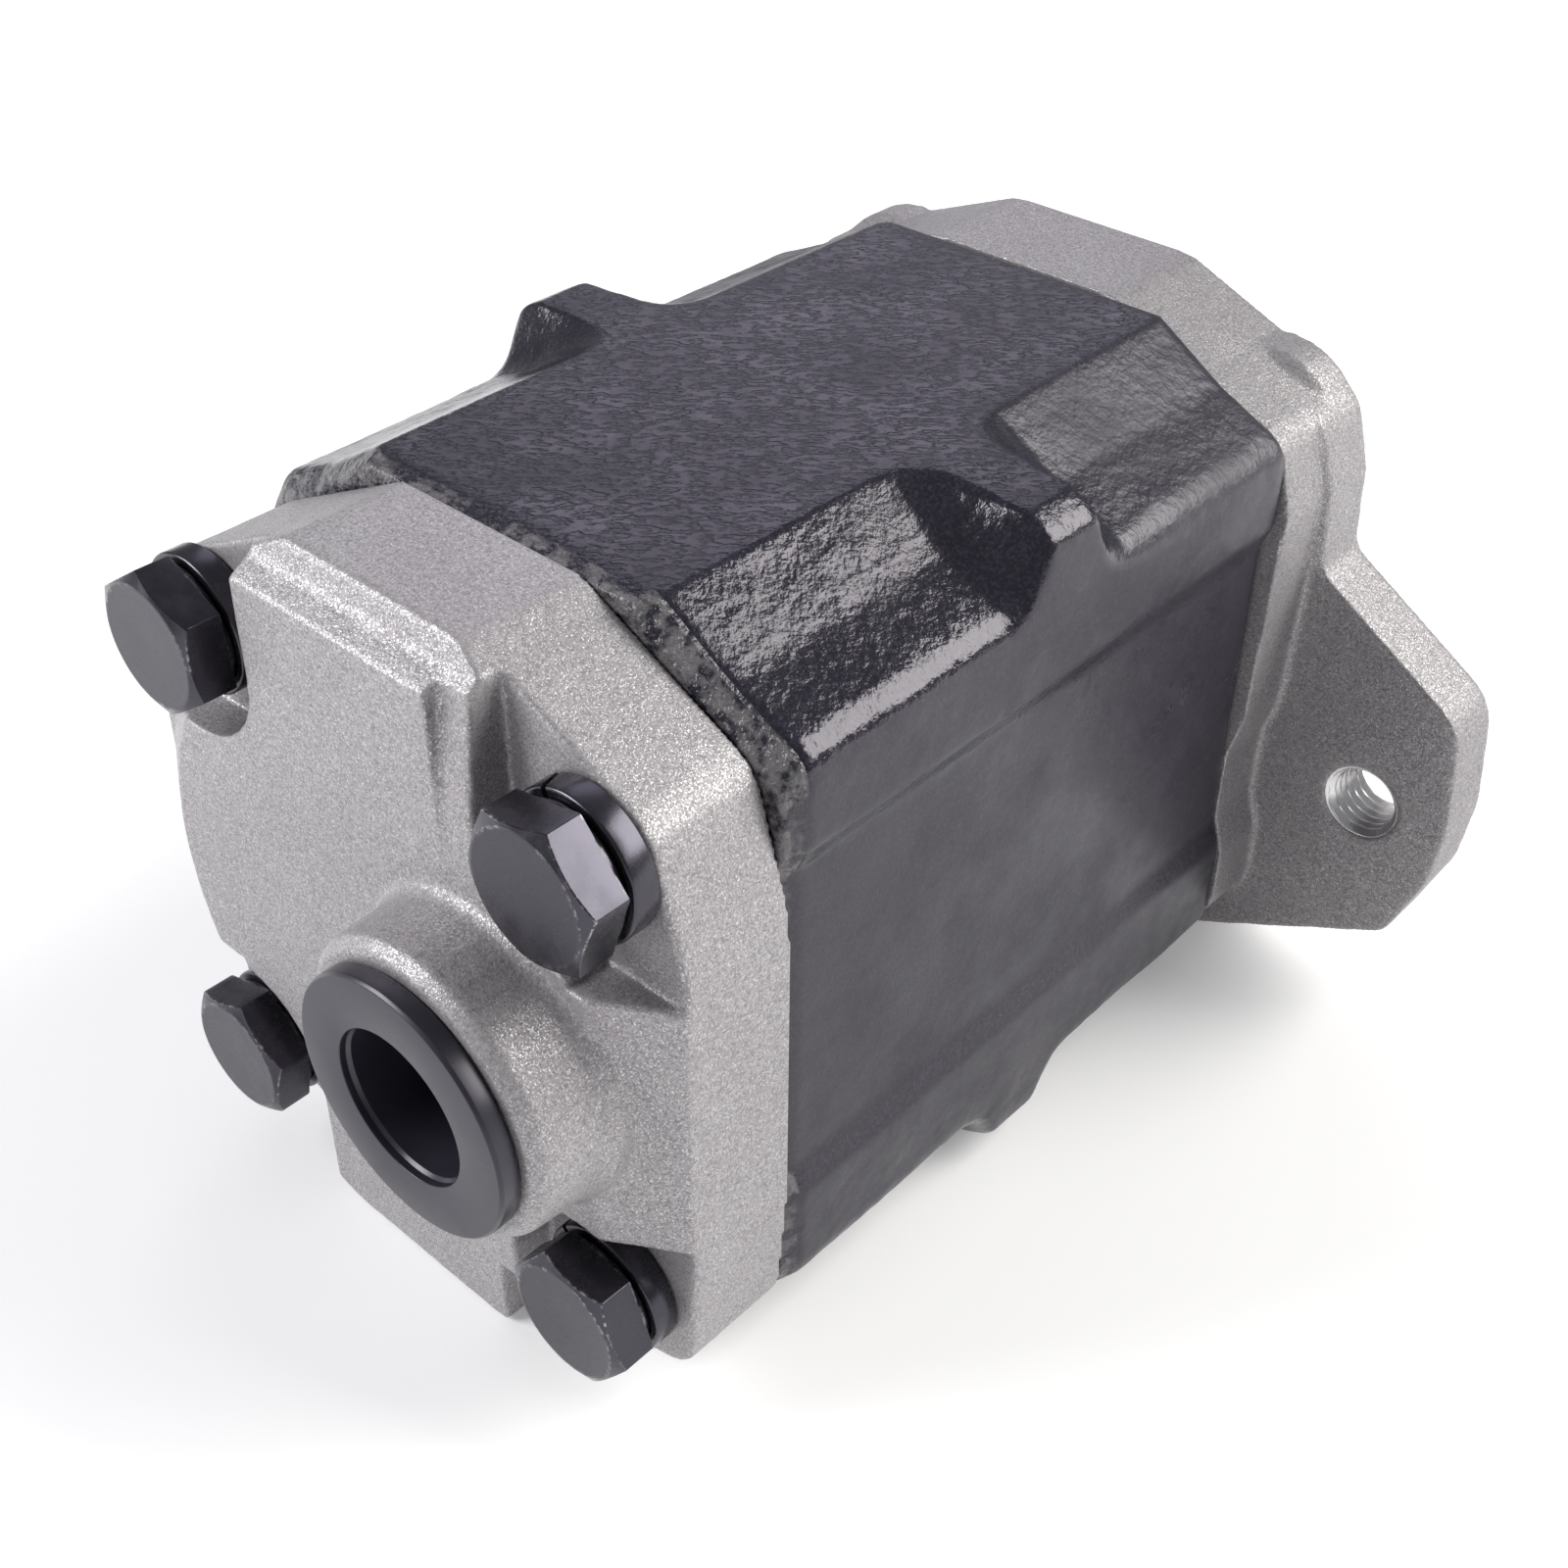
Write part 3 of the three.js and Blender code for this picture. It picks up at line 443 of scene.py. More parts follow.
def place(name, mesh, material, body, replaced=(), crisp=None):
    """Adds the piece to the scene on its body; crisp is the angle past which an edge stays sharp."""
    obj = bpy.data.objects.new(name, mesh)
    bpy.context.collection.objects.link(obj)
    mesh.materials.clear()
    mesh.materials.append(MATERIALS[material])
    mesh.polygons.foreach_set("use_smooth", [True] * len(mesh.polygons))
    if crisp:
        mesh.set_sharp_from_angle(angle=radians(crisp))
    mesh.update()
    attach(obj, body)
    if replaced:
        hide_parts(*replaced)


def points_of(mesh):
    points = np.empty(len(mesh.vertices) * 3, np.float64)
    mesh.vertices.foreach_get("co", points)
    return points.reshape(-1, 3)


def normals_of(mesh):
    mesh.update()
    normals = np.empty(len(mesh.vertices) * 3, np.float64)
    mesh.vertices.foreach_get("normal", normals)
    return normals.reshape(-1, 3)


def set_points(mesh, points):
    mesh.vertices.foreach_set("co", points.astype(np.float32).ravel())
    mesh.update()


def ramp(values, start, end):
    """0 at start, 1 at end, smooth between; start may be above end."""
    t = np.clip((values - start) / (end - start), 0, 1)
    return t * t * (3 - 2 * t)


def recast(node, voxel):
    """The node's solid as an even mesh of small quads."""
    source = frame["nodes"][node]
    mesh = source.data.copy()
    work = bpy.data.objects.new("work", mesh)
    bpy.context.collection.objects.link(work)
    tidy = bmesh.new()
    tidy.from_mesh(mesh)
    bmesh.ops.remove_doubles(tidy, verts=tidy.verts, dist=0.002 * MM)
    tidy.to_mesh(mesh)
    tidy.free()
    remesh = work.modifiers.new("remesh", "REMESH")
    remesh.mode = "VOXEL"
    remesh.voxel_size = voxel * 1
    graph = bpy.context.evaluated_depsgraph_get()
    result = bpy.data.meshes.new_from_object(work.evaluated_get(graph))
    bpy.data.objects.remove(work)
    return result


def relax(mesh, rounds, weight):
    """Rounds edges: each point moves part of the way to the middle of its neighbours."""
    points = points_of(mesh)
    count = len(points)
    pairs = np.empty(len(mesh.edges) * 2, np.int64)
    mesh.edges.foreach_get("vertices", pairs)
    a, b = pairs.reshape(-1, 2).T
    degree = np.bincount(a, minlength=count) + np.bincount(b, minlength=count)
    pull = 0.5 * weight(points)
    for _ in range(rounds):
        total = np.stack([np.bincount(a, points[b, k], count) + np.bincount(b, points[a, k], count)
                          for k in range(3)], axis=1)
        points += (total / degree[:, None] - points) * pull[:, None]
    set_points(mesh, points)


def roughen(mesh, wavelength, amount, weight, seed=0.0):
    """Moves the surface along its normals by smooth noise."""
    points = points_of(mesh)
    heights = np.array([noise.noise(Vector(p)) for p in points / wavelength + seed]) * weight(points)
    set_points(mesh, points + normals_of(mesh) * (heights * amount)[:, None])


def keep_in_box(mesh, node):
    """No point goes beyond the CAD node's own box."""
    low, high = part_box(node)
    set_points(mesh, np.clip(points_of(mesh), np.array(low), np.array(high)))


ARC_STEPS = 3


def softened(profile):
    """(x, y, radius) corners as points, each corner with a radius turned into an arc."""
    points = []
    for i, corner in enumerate(profile):
        here = Vector(corner[:2])
        radius = corner[2] if len(corner) > 2 else 0
        if not radius:
            points.append(here)
            continue
        before = (Vector(profile[i - 1][:2]) - here).normalized()
        after = (Vector(profile[(i + 1) % len(profile)][:2]) - here).normalized()
        half = before.angle(after) / 2
        middle = (before + after).normalized()
        centre = here + middle * (radius / sin(half))
        start = here + before * (radius / tan(half)) - centre
        end = here + after * (radius / tan(half)) - centre
        for k in range(ARC_STEPS + 1):
            arm = start.lerp(end, k / ARC_STEPS).normalized() * radius
            points.append(centre + arm)
    return points


def grid_mesh(name, rows, closed_rows=False):
    """A mesh from rows of points; each row is a closed ring. One-point rows close an end."""
    mesh = bmesh.new()
    made = [[mesh.verts.new(p) for p in row] for row in rows]
    follow = list(zip(made, made[1:])) + ([(made[-1], made[0])] if closed_rows else [])
    for lower, upper in follow:
        count = max(len(lower), len(upper))
        for i in range(count):
            j = (i + 1) % count
            corners = [row[k % len(row)] for row, k in ((lower, i), (lower, j), (upper, j), (upper, i))]
            unique = list(dict.fromkeys(corners))
            if len(unique) > 2:
                mesh.faces.new(unique)
    bmesh.ops.recalc_face_normals(mesh, faces=mesh.faces)
    data = bpy.data.meshes.new(name)
    mesh.to_mesh(data)
    mesh.free()
    return data


def turned(name, profile, centre, axis=(0, 1, 0), segments=96):
    """A turned piece. profile corners are (radius, distance along axis, corner radius) in mm."""
    points = softened(profile)
    turn = Vector((0, 1, 0)).rotation_difference(Vector(axis)).to_matrix()
    rows = []
    for r, y in points:
        if r < 1e-6:
            rows.append([turn @ Vector((0, y, 0)) * MM + centre])
            continue
        ring = []
        for k in range(segments):
            angle = 2 * pi * k / segments
            ring.append(turn @ Vector((r * cos(angle), y, r * sin(angle))) * MM + centre)
        rows.append(ring)
    return grid_mesh(name, rows, closed_rows=profile[0][0] > 1e-6)


def middle_of(node):
    low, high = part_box(node)
    return (low + high) / 2


# ---- Castings ---------------------------------------------------------------------------

JOINT_EDGE = (0.1 * MM, 1.0 * MM)   # from a joint face: flat up to the first, as cast past the second
COARSE_GRAIN = (6 * MM, 0.08 * MM)  # (wavelength, height) of the aluminium castings' skin
FINE_GRAIN = (2.2 * MM, 0.035 * MM)


def make_rear_cover():
    _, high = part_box("rear_cover")
    mesh = recast("rear_cover", 0.45 * MM)
    as_cast = lambda p: ramp(high.y - p[:, 1], *JOINT_EDGE)
    relax(mesh, 4, as_cast)
    roughen(mesh, *COARSE_GRAIN, as_cast)
    roughen(mesh, *FINE_GRAIN, as_cast, seed=3.0)
    keep_in_box(mesh, "rear_cover")
    place("rear_cover_casting", mesh, "cast_aluminium", BODY, ["rear_cover"])


BORES_HALF_WIDTH = 30 * MM
BORES_HALF_HEIGHT = 46 * MM
FLAT_ROUGHNESS = 0.35       # of the corners' roughness


def make_gear_housing():
    low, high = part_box("gear_housing")
    middle = (low + high) / 2
    mesh = recast("gear_housing", 0.55 * MM)
    off_joints = lambda p: ramp(np.minimum(p[:, 1] - low.y, high.y - p[:, 1]), *JOINT_EDGE)
    relax(mesh, 6, off_joints)

    def outside(p):
        """1 on the outer skin, 0 in the bores."""
        beyond = np.maximum(np.abs(p[:, 0]) - BORES_HALF_WIDTH,
                            np.abs(p[:, 2] - middle.z) - BORES_HALF_HEIGHT)
        return ramp(beyond, 0, 2 * MM)

    def rough_parts(p):
        """Full on the corners, a little on the flat top and sides."""
        corner = ramp(np.abs(p[:, 0] - middle.x), 27 * MM, 30 * MM)
        corner *= ramp(np.abs(p[:, 2] - middle.z), 30 * MM, 34 * MM)
        return outside(p) * off_joints(p) * (FLAT_ROUGHNESS + (1 - FLAT_ROUGHNESS) * corner)

    roughen(mesh, 9 * MM, 0.16 * MM, rough_parts)
    roughen(mesh, 2.6 * MM, 0.06 * MM, rough_parts, seed=5.0)
    roughen(mesh, 1.4 * MM, 0.04 * MM, rough_parts, seed=8.0)
    keep_in_box(mesh, "gear_housing")
    place("gear_housing_casting", mesh, "black_paint", BODY, ["gear_housing"])


PILOT_HEIGHT = 6 * MM


def make_mounting_flange():
    """Rough casting with a turned pilot and a faced mounting side."""
    low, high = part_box("mounting_flange")
    mount_face = high.y - PILOT_HEIGHT
    mesh = recast("mounting_flange", 0.5 * MM)
    off_joint = lambda p: ramp(p[:, 1] - low.y, *JOINT_EDGE)
    relax(mesh, 6, off_joint)
    as_cast = lambda p: off_joint(p) * ramp(mount_face - p[:, 1], 0.4 * MM, 1.4 * MM)
    roughen(mesh, *COARSE_GRAIN, as_cast, seed=9.0)
    roughen(mesh, *FINE_GRAIN, as_cast, seed=2.0)
    keep_in_box(mesh, "mounting_flange")
    # the flange gets the darker copy of the cast aluminium: painted shade
    place("mounting_flange_casting", mesh, "flange_aluminium_painted_shade", BODY, ["mounting_flange"])
    mesh.materials.append(MATERIALS["faced_aluminium"])
    middles = np.empty(len(mesh.polygons) * 3)
    facing = np.empty(len(mesh.polygons) * 3)
    mesh.polygons.foreach_get("center", middles)
    mesh.polygons.foreach_get("normal", facing)
    middles, facing = middles.reshape(-1, 3), facing.reshape(-1, 3)
    faced = (middles[:, 1] > mount_face - 0.15 * MM) & (facing[:, 1] > 0.93)
    turned_side = middles[:, 1] > mount_face + 0.6 * MM
    mesh.polygons.foreach_set("material_index", (faced | turned_side).astype(np.int32))


# ---- Tapped ear holes -------------------------------------------------------------------

THREAD_PITCH = 1.75
EAR_HOLE_R = 6.2
THREAD_CREST_R = 5.3
EAR_PLATE = 11.5
EAR_PLATE_START = 10.35 * MM   # from the flange's joint face
EAR_HOLE_X = 68 * MM
THREAD_DEPTH = 0.85


def make_ear_thread(name, side):
    """The thread of one ear hole, as a thin tapped sleeve set into it."""
    flange_low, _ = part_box("mounting_flange")
    centre = Vector((side * EAR_HOLE_X, flange_low.y + EAR_PLATE_START, DRIVE_Z))
    segments, per_pitch = 60, 10
    count = int(EAR_PLATE / THREAD_PITCH * per_pitch)
    rows = []
    for i in range(count + 1):
        y = 0.25 + (EAR_PLATE - 0.5) * i / count
        ring = []
        for k in range(segments):
            angle = 2 * pi * k / segments
            phase = (y / THREAD_PITCH + angle / (2 * pi)) % 1
            r = THREAD_CREST_R + THREAD_DEPTH * min(1, max(0, 1.15 * abs(2 * phase - 1) - 0.1))
            mouth = 1.2 - min(y, EAR_PLATE - y)
            r = max(r, THREAD_CREST_R + mouth)
            ring.append(centre + Vector((r * cos(angle), y, r * sin(angle))) * MM)
        rows.append(ring)
    sleeve_r = EAR_HOLE_R + 0.25
    for y in (EAR_PLATE - 0.25, 0.25):
        rows.append([centre + Vector((sleeve_r * cos(angle), y, sleeve_r * sin(angle))) * MM
                     for angle in (2 * pi * k / segments for k in range(segments))])
    mesh = grid_mesh(name, rows, closed_rows=True)
    place(name, mesh, "machined_aluminium", BODY, crisp=50)


# ---- Bolts and washers ------------------------------------------------------------------

HEX_FLATS = 19
HEAD_HEIGHT = 7
SHANK_R = 6
BOLT_LENGTH = 147
HEAD_TURNS = {"upper_right": 11.8, "upper_left": 34.4, "lower_right": 51.4, "lower_left": 18.0}
SLIT_TURNS = {"upper_right": 118, "upper_left": -60, "lower_right": 140, "lower_left": 80}


def hex_radii(flats, corner_radius):
    """(angle, radius) round a hexagon with softened corners, its first corner at angle 0."""
    apothem = flats / 2
    reach = (apothem - corner_radius) / cos(pi / 6)
    last_flat = atan((apothem - corner_radius) * tan(pi / 6) / apothem)
    samples = []
    for side in range(6):
        centre = pi / 6 + side * pi / 3
        for k in range(-5, 6):
            a = last_flat * k / 5
            samples.append((centre + a, apothem / cos(a)))
        for k in range(1, 4):
            off = (pi / 6 - last_flat) * (k / 2 - 1)
            bulge = sqrt(corner_radius ** 2 - (reach * sin(off)) ** 2)
            samples.append((centre + pi / 6 + off, reach * cos(off) + bulge))
    return samples


HEX_SIDE_SAMPLES = 14       # from hex_radii: 11 along a flat and 3 round its corner
HEAD_FACE = 0.945           # the round face, as a part of the width across flats
HEAD_CHAMFER = radians(28)
HEAD_DISH = 0.12
THREAD_START = 117
THREAD_CREST = SHANK_R - 0.05
THREAD_ROOT = SHANK_R - 0.85


def make_bolt(place_name):
    """Hex bolt built from rings along its axis; its edges carry the wear mask."""
    node = f"through_bolt_{place_name}"
    low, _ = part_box(node)
    middle = middle_of(node)
    centre = Vector((middle.x, low.y + HEAD_HEIGHT * MM, middle.z))
    turn = radians(HEAD_TURNS[place_name])
    face_r = HEX_FLATS / 2 * HEAD_FACE
    samples = hex_radii(HEX_FLATS, 0.35)
    slope = tan(HEAD_CHAMFER)
    rows, edges = [], []

    def ring(height_of, radius_of, edge):
        """height_of and radius_of take the hexagon's radius at each sample."""
        rows.append([centre + Vector((radius_of(r) * cos(a + turn), height_of(r),
                                      radius_of(r) * sin(a + turn))) * MM for a, r in samples])
        edges.append(edge)

    rim = lambda r: -HEAD_HEIGHT + (r - face_r) * slope
    rows.append([centre + Vector((0, -HEAD_HEIGHT + HEAD_DISH, 0)) * MM])
    edges.append(0)
    for part in (0.3, 0.6, 0.82):
        ring(lambda r: -HEAD_HEIGHT + HEAD_DISH * (1 - part), lambda r: face_r * part, 0)
    ring(lambda r: -HEAD_HEIGHT + 0.02, lambda r: face_r - 0.5, 0)
    ring(lambda r: -HEAD_HEIGHT, lambda r: face_r - 0.1, 0.35)
    ring(lambda r: -HEAD_HEIGHT + 0.04, lambda r: face_r + 0.1, 0.6)
    ring(lambda r: rim(min(face_r + 0.22, r - 0.3)), lambda r: min(face_r + 0.22, r - 0.3), 0)
    ring(lambda r: rim(r - 0.2), lambda r: r - 0.2, 0)
    ring(lambda r: rim(r - 0.06), lambda r: r - 0.06, 1.0)
    ring(lambda r: rim(r) + 0.1, lambda r: r, 1.0)
    ring(lambda r: rim(r) + 0.26, lambda r: r, 0)
    ring(lambda r: -3.2, lambda r: r, 0)
    ring(lambda r: -1.15, lambda r: r, 0)
    ring(lambda r: -0.85, lambda r: r - 0.05, 0.6)
    ring(lambda r: -0.55, lambda r: min(r, 9.6) - 0.1, 0.3)
    ring(lambda r: -0.5, lambda r: 9.2, 0)
    ring(lambda r: -0.02, lambda r: 9.1, 0)
    ring(lambda r: 0.0, lambda r: 9.0, 0)
    ring(lambda r: 0.0, lambda r: SHANK_R + 0.1, 0)
    ring(lambda r: 0.6, lambda r: THREAD_CREST, 0)
    ring(lambda r: THREAD_START, lambda r: THREAD_CREST, 0)
    for k in range(int((BOLT_LENGTH - 2 - THREAD_START) / THREAD_PITCH)):
        start = THREAD_START + k * THREAD_PITCH
        ring(lambda r: start + 0.5 * THREAD_PITCH, lambda r: THREAD_ROOT, 0)
        ring(lambda r: start + 0.95 * THREAD_PITCH, lambda r: THREAD_CREST, 0)
    ring(lambda r: BOLT_LENGTH, lambda r: THREAD_ROOT - 0.3, 0)
    rows.append([centre + Vector((0, BOLT_LENGTH, 0)) * MM])
    edges.append(0)
    mesh = grid_mesh(node, rows)
    corner = {i for i in range(len(samples))
              if i % HEX_SIDE_SAMPLES >= 10 or i % HEX_SIDE_SAMPLES == 0}
    values = []
    for row, edge in zip(rows, edges):
        for i in range(len(row)):
            values.append(max(edge, 0.8 if i in corner and 0.1 <= edge < 1 else edge))
    layer = mesh.attributes.new("edge", "FLOAT", "POINT")
    layer.data.foreach_set("value", values)
    place(f"{node}_piece", mesh, "black_steel", BODY, [node], crisp=32)


WASHER_RADII = (6.3, 10.3)


def make_washer(place_name):
    """Spring washer: a square-section ring with one slanted cut."""
    node = f"lock_washer_{place_name}"
    low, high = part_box(node)
    bolt = middle_of(f"through_bolt_{place_name}")
    centre = Vector((bolt.x, low.y, bolt.z))
    thick = (high.y - low.y) / MM
    inner, outer = WASHER_RADII
    section = softened([(inner, 0, 0.25), (outer, 0, 0.4), (outer, thick, 0.4), (inner, thick, 0.25)])
    start = radians(SLIT_TURNS[place_name])
    gap, slant, count = radians(5.5), radians(9), 110
    rows = []
    for k in range(count + 1):
        base = start + gap / 2 + (2 * pi - gap) * k / count
        ring = []
        for r, y in section:
            angle = base + slant * (y / thick - 0.5)
            ring.append(centre + Vector((r * cos(angle), y, r * sin(angle))) * MM)
        rows.append(ring)
    mesh = grid_mesh(node, rows)
    ends = bmesh.new()
    ends.from_mesh(mesh)
    bmesh.ops.holes_fill(ends, edges=ends.edges)
    bmesh.ops.recalc_face_normals(ends, faces=ends.faces)
    ends.to_mesh(mesh)
    ends.free()
    mesh.attributes.new("edge", "FLOAT", "POINT")
    place(f"{node}_piece", mesh, "black_steel", BODY, [node], crisp=35)


# ---- Transit plugs ----------------------------------------------------------------------

PLUG_WALL = 1.6


def make_plug(node, axis, rim_r, cup_r, hole_r, rim, depth):
    """Push-in plug: a flat rim outside, with a small step, and a closed cup inside."""
    low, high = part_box(node)
    middle = (low + high) / 2
    outward = Vector(axis)
    face = Vector(tuple(high[k] if outward[k] > 0.5 else low[k] if outward[k] < -0.5 else middle[k]
                        for k in range(3)))
    hollow = [(0, depth - PLUG_WALL), (hole_r - 0.9, depth - PLUG_WALL, 0.8), (hole_r - 0.45, 1.6, 0.3),
              (hole_r, 1.1, 0.2), (hole_r, 0.1, 0.15)]
    flat_rim = [(rim_r - 0.35, 0, 0.3), (rim_r, 0.5, 0.3), (rim_r, rim, 0.2)]
    cup = [(cup_r, rim, 0.1), (cup_r, rim + 2.5, 0.3), (cup_r - 0.35, rim + 3.2, 0.3),
           (cup_r - 0.6, depth, 0.6), (0, depth)]
    mesh = turned(node, hollow + flat_rim + cup, face, -outward, segments=128)
    place(f"{node}_piece", mesh, "black_plastic", BODY, [node], crisp=40)


# ---- Gears and shafts -------------------------------------------------------------------

MODULE = 3.4
TEETH = 10
PRESSURE_ANGLE = radians(28)
BACKLASH = 0.5
JOURNAL_R = 11
DRIVE_END_R = 10
KEYED_END = 30       # length of the thinner, keyed end
KEYWAY_CLEARANCE = 0.12


def gear_samples(turn):
    """(angle, radius) once round a gear whose first tooth points at the angle turn."""
    pitch_r = MODULE * TEETH / 2
    base_r = pitch_r * cos(PRESSURE_ANGLE)
    tip_r = pitch_r + MODULE * 0.97
    root_r = pitch_r - MODULE * 1.22
    involute = lambda r: sqrt(max((r / base_r) ** 2 - 1, 0)) - acos(min(base_r / r, 1))
    half_tooth = (pi * MODULE / 2 - BACKLASH / 2) / pitch_r / 2
    flank = lambda r: half_tooth + involute(pitch_r) - involute(r)
    radii = [base_r + 0.05 + (tip_r - base_r - 0.05) * k / 8 for k in range(9)]
    foot = [(0.05, root_r), (0.02, root_r + 0.25)]
    samples = []
    for tooth in range(TEETH):
        centre = turn + tooth * 2 * pi / TEETH
        samples += [(centre - flank(radii[0]) - off, r) for off, r in foot]
        samples += [(centre - flank(r), r) for r in radii]
        samples += [(centre + flank(r), r) for r in reversed(radii)]
        samples += [(centre + flank(radii[0]) + off, r) for off, r in reversed(foot)]
    return samples


def make_gear(name, axis_z, turn, body, node):
    """Toothed part of a gear shaft, its tooth ends bevelled."""
    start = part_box("rear_bearing_block")[1].y + 0.3 * MM
    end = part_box("front_bearing_block")[0].y - 0.3 * MM
    samples = gear_samples(turn)
    rows = []
    bevel = 0.5 * MM
    for y, trim in ((start, None), (start, 0.5), (start + bevel, 0),
                    (end - bevel, 0), (end, 0.5), (end, None)):
        ring = []
        for angle, radius in samples:
            r = JOURNAL_R - 0.5 if trim is None else radius - trim
            ring.append(Vector((r * cos(angle) * MM, y, axis_z + r * sin(angle) * MM)))
        rows.append(ring)
    mesh = grid_mesh(name, rows, closed_rows=True)
    place(name, mesh, "gear_steel", body, [node], crisp=30)


def stadium(name, low, high, grow=0.0, bevel=0.0):
    """Upright block with round ends along the shaft, over the box low..high."""
    half = (high.x - low.x) / 2 + grow
    x = (low.x + high.x) / 2
    ends = (low.y - grow + half, high.y + grow - half)
    outline = []
    for k in range(33):
        angle = pi + pi * k / 32
        outline.append((half * cos(angle), ends[0] + half * sin(angle)))
    for k in range(33):
        angle = pi * k / 32
        outline.append((half * cos(angle), ends[1] + half * sin(angle)))
    middle_y = (ends[0] + ends[1]) / 2
    rows = [[Vector((x, middle_y, low.z))]]
    for z, trim in ((low.z, 0), (high.z - bevel, 0), (high.z, bevel)):
        scale = 1 - trim / half
        rows.append([Vector((x + px * scale, py - trim if py > middle_y else py + trim, z))
                     for px, py in outline])
    rows.append([Vector((x, middle_y, high.z))])
    return grid_mesh(name, rows)


def carved(mesh, cutter):
    """mesh less cutter."""
    target = bpy.data.objects.new("target", mesh)
    tool = bpy.data.objects.new("tool", cutter)
    for obj in (target, tool):
        bpy.context.collection.objects.link(obj)
    modifier = target.modifiers.new("cut", "BOOLEAN")
    modifier.operation = "DIFFERENCE"
    modifier.solver = "EXACT"
    modifier.object = tool
    graph = bpy.context.evaluated_depsgraph_get()
    result = bpy.data.meshes.new_from_object(target.evaluated_get(graph))
    for obj in (target, tool):
        bpy.data.objects.remove(obj)
    return result


def make_drive_shaft():
    low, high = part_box("drive_gear_shaft")
    y0, y1 = low.y / MM, high.y / MM
    step = y1 - KEYED_END
    profile = [(0, y0), (JOURNAL_R - 1, y0, 0.2), (JOURNAL_R, y0 + 1, 0.2), (JOURNAL_R, step, 0.1),
               (DRIVE_END_R, step + 0.5, 0.15), (DRIVE_END_R, y1 - 1.5, 0.3),
               (DRIVE_END_R - 1.5, y1, 0.3), (0, y1)]
    mesh = turned("drive_shaft", profile, Vector((0, 0, DRIVE_Z)))
    key_low, key_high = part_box("shaft_key")
    slot_low = Vector((key_low.x, key_low.y, key_low.z - KEYWAY_CLEARANCE * MM))
    slot_high = Vector((key_high.x, key_high.y, key_high.z + 1 * MM))
    mesh = carved(mesh, stadium("keyway", slot_low, slot_high, KEYWAY_CLEARANCE * MM))
    place("drive_shaft", mesh, "gear_steel", "drive_rotor", ["drive_gear_shaft"], crisp=30)
    make_gear("drive_gear", DRIVE_Z, pi / 2, "drive_rotor", "drive_gear_shaft")
    key = stadium("shaft_key_piece", key_low, key_high, bevel=0.35 * MM)
    place("shaft_key_piece", key, "gear_steel", "drive_rotor", ["shaft_key"], crisp=30)


def make_driven_shaft():
    low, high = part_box("driven_gear_shaft")
    y0, y1 = low.y / MM, high.y / MM
    profile = [(0, y0), (JOURNAL_R - 1, y0, 0.2), (JOURNAL_R, y0 + 1, 0.2),
               (JOURNAL_R, y1 - 1, 0.2), (JOURNAL_R - 1, y1, 0.2), (0, y1)]
    mesh = turned("driven_shaft", profile, Vector((0, 0, DRIVEN_Z)))
    place("driven_shaft", mesh, "gear_steel", "driven_rotor", ["driven_gear_shaft"], crisp=30)
    make_gear("driven_gear", DRIVEN_Z, pi / 2 + pi / TEETH, "driven_rotor", "driven_gear_shaft")


# ---- Shaft seal and its ring ------------------------------------------------------------

def make_shaft_seal():
    """Lip seal: a rubber-covered case, a main lip inside and a dust lip outside."""
    low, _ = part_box("shaft_seal")
    back = low.y / MM
    section = [(11.35, 1.8, 0.2), (13.2, 1.2, 0.4), (13.2, 4.6, 0.6), (16.8, 4.6, 0.6), (16.8, 0, 0.3),
               (18.7, 0, 0.5), (18.7, 8, 0.5), (16.9, 8, 0.4), (16.2, 7.2, 0.3), (14.2, 7.2, 0.4),
               (12.7, 7.9, 0.3), (11.5, 7.2, 0.2), (12.3, 5.6, 0.3)]
    profile = [(r, back + y, corner) for r, y, corner in section]
    mesh = turned("shaft_seal_piece", profile, Vector((0, 0, DRIVE_Z)))
    place("shaft_seal_piece", mesh, "seal_rubber", BODY, ["shaft_seal"], crisp=40)


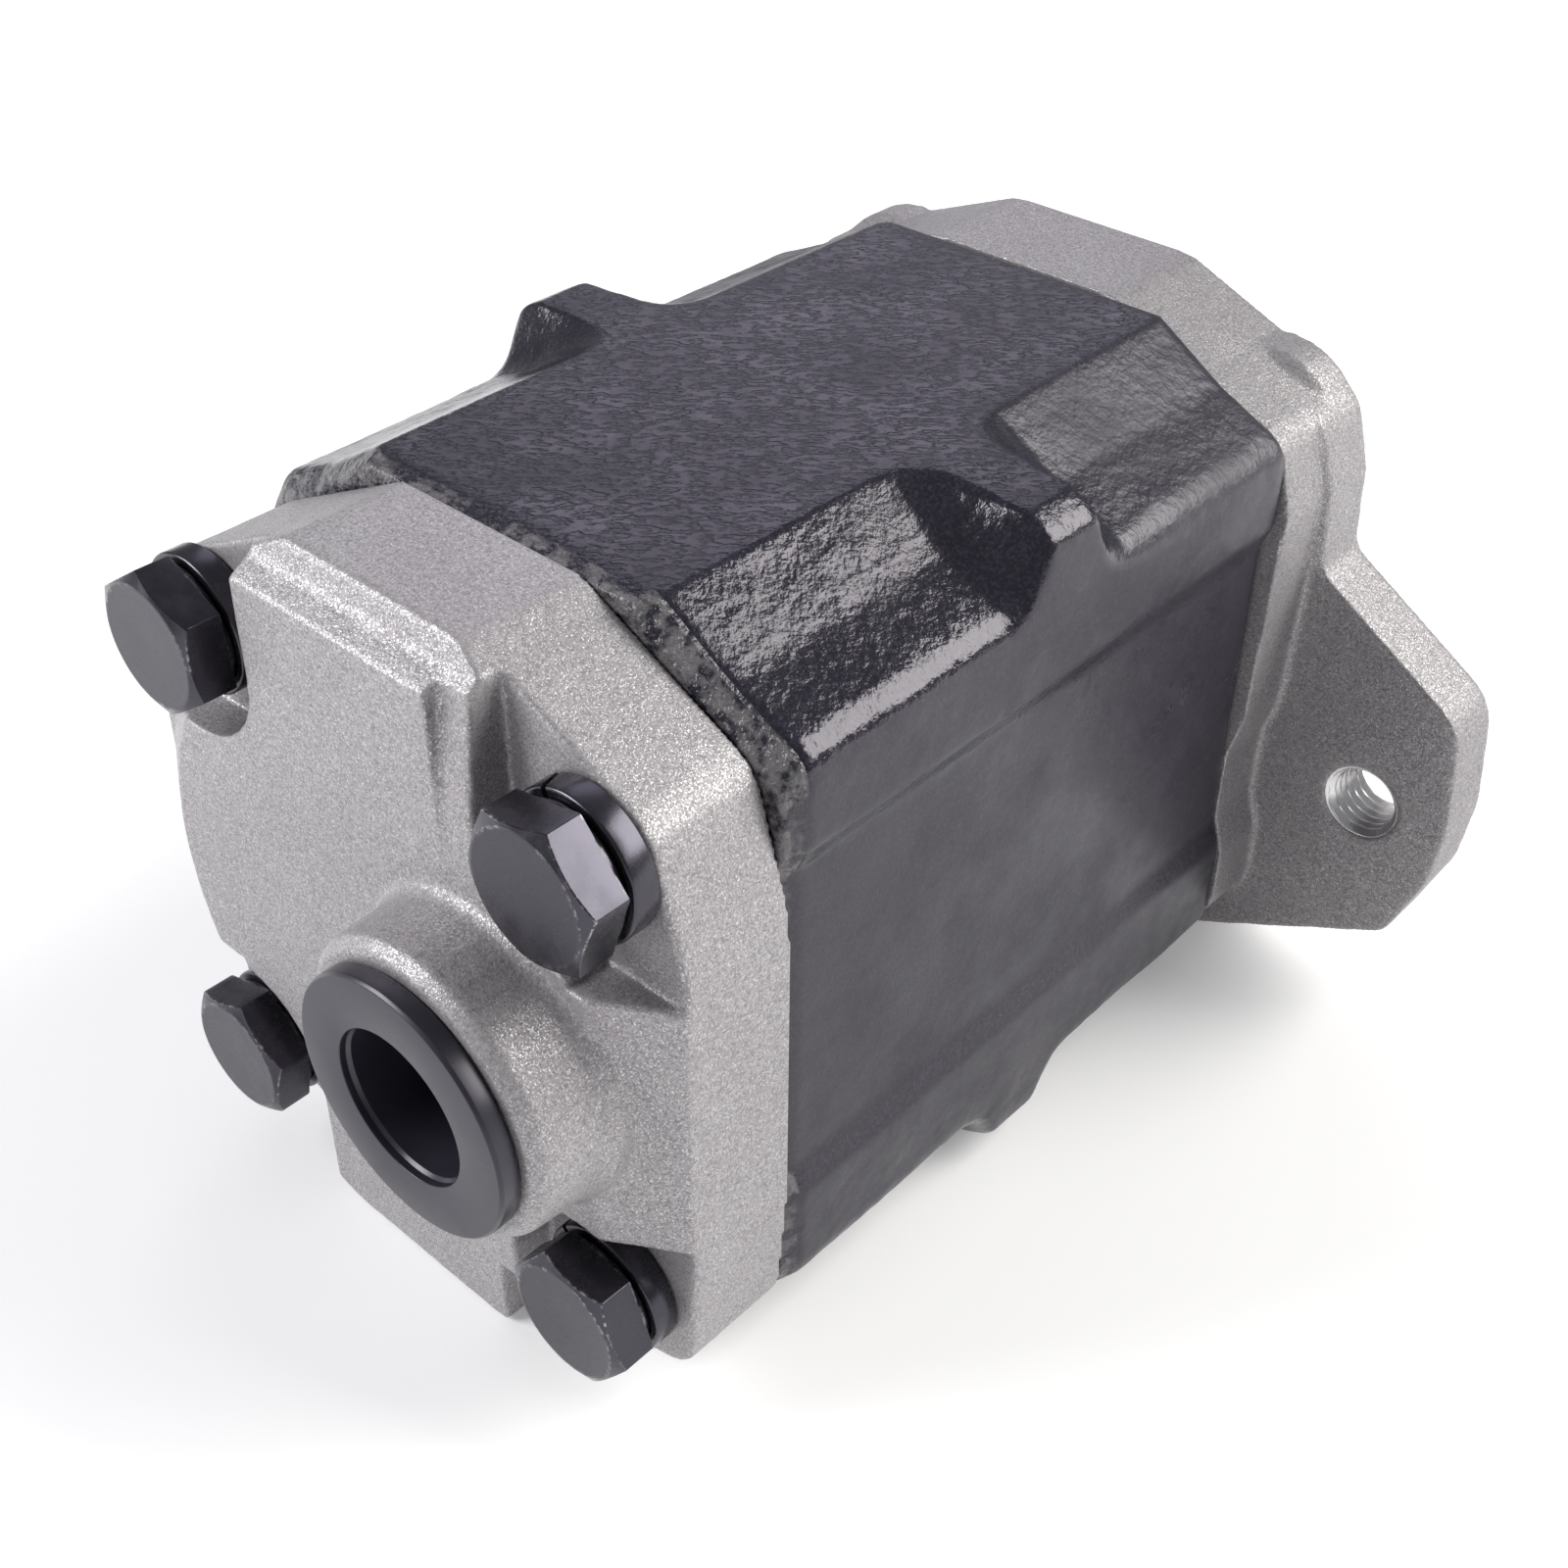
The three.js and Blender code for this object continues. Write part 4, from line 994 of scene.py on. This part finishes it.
def make_retaining_ring():
    """Internal snap ring with an eyed lug on each side of its gap."""
    low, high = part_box("seal_retaining_ring")
    outer, inner, lug_inner = 19.85, 16.5, 14.3
    eye_r, eye_reach = 1.1, 16.3
    gap, lug = radians(14), radians(13)
    start, end = pi / 2 + gap, pi / 2 - gap + 2 * pi
    steps = 90
    outline = [(outer, start + (end - start) * k / steps) for k in range(steps + 1)]
    outline += [(lug_inner + 0.8, end), (lug_inner, end - lug * 0.3), (lug_inner, end - lug * 0.75),
                (lug_inner + 0.7, end - lug)]
    first, last = start + lug * 1.35, end - lug * 1.35
    outline += [(inner, last + (first - last) * k / steps) for k in range(steps + 1)]
    outline += [(lug_inner + 0.7, start + lug), (lug_inner, start + lug * 0.75),
                (lug_inner, start + lug * 0.3), (lug_inner + 0.8, start)]
    loops = [[(r * cos(a), r * sin(a)) for r, a in outline]]
    for angle in (start + lug * 0.55, end - lug * 0.55):
        x, y = eye_reach * cos(angle), eye_reach * sin(angle)
        loops.append([(x + eye_r * cos(turn), y + eye_r * sin(turn))
                      for turn in (2 * pi * k / 24 for k in range(24))])
    curve = bpy.data.curves.new("ring_outline", "CURVE")
    curve.dimensions = "2D"
    curve.fill_mode = "BOTH"
    bevel = 0.1 * MM
    curve.bevel_depth = bevel
    curve.bevel_resolution = 1
    curve.offset = -bevel
    curve.extrude = (high.y - low.y) / 2 - bevel
    for loop in loops:
        spline = curve.splines.new("POLY")
        spline.points.add(len(loop) - 1)
        for point, (x, y) in zip(spline.points, loop):
            point.co = (x * MM, y * MM, 0, 1)
        spline.use_cyclic_u = True
    holder = bpy.data.objects.new("ring_outline", curve)
    bpy.context.collection.objects.link(holder)
    graph = bpy.context.evaluated_depsgraph_get()
    mesh = bpy.data.meshes.new_from_object(holder.evaluated_get(graph))
    bpy.data.objects.remove(holder)
    stand = Matrix.Translation((0, (low.y + high.y) / 2, DRIVE_Z)) @ Matrix.Rotation(pi / 2, 4, "X")
    mesh.transform(stand)
    joined = bmesh.new()
    joined.from_mesh(mesh)
    bmesh.ops.remove_doubles(joined, verts=joined.verts, dist=0.005 * MM)
    bmesh.ops.recalc_face_normals(joined, faces=joined.faces)
    joined.to_mesh(mesh)
    joined.free()
    mesh.attributes.new("edge", "FLOAT", "POINT")
    place("seal_retaining_ring_piece", mesh, "black_steel", BODY, ["seal_retaining_ring"], crisp=35)


# ---- Build ------------------------------------------------------------------------------

make_camera()
make_stage()
make_rear_cover()
make_gear_housing()
make_mounting_flange()
make_ear_thread("right_ear_thread", 1)
make_ear_thread("left_ear_thread", -1)
for corner_name in HEAD_TURNS:
    make_bolt(corner_name)
    make_washer(corner_name)
make_plug("suction_port_plug", (0, -1, 0), rim_r=19.1, cup_r=15.9, hole_r=11.4, rim=3.0, depth=20.0)
make_plug("pressure_port_plug", (-1, 0, 0), rim_r=16.0, cup_r=12.9, hole_r=9.0, rim=2.6, depth=14.6)
make_drive_shaft()
make_driven_shaft()
make_shaft_seal()
make_retaining_ring()

SLOTS = {part["node"]: part["material_slot"] for part in frame["record"]["subparts"]}
for node_name, cad in frame["nodes"].items():
    cad.data.materials.clear()
    cad.data.materials.append(MATERIALS[SLOTS[node_name]])
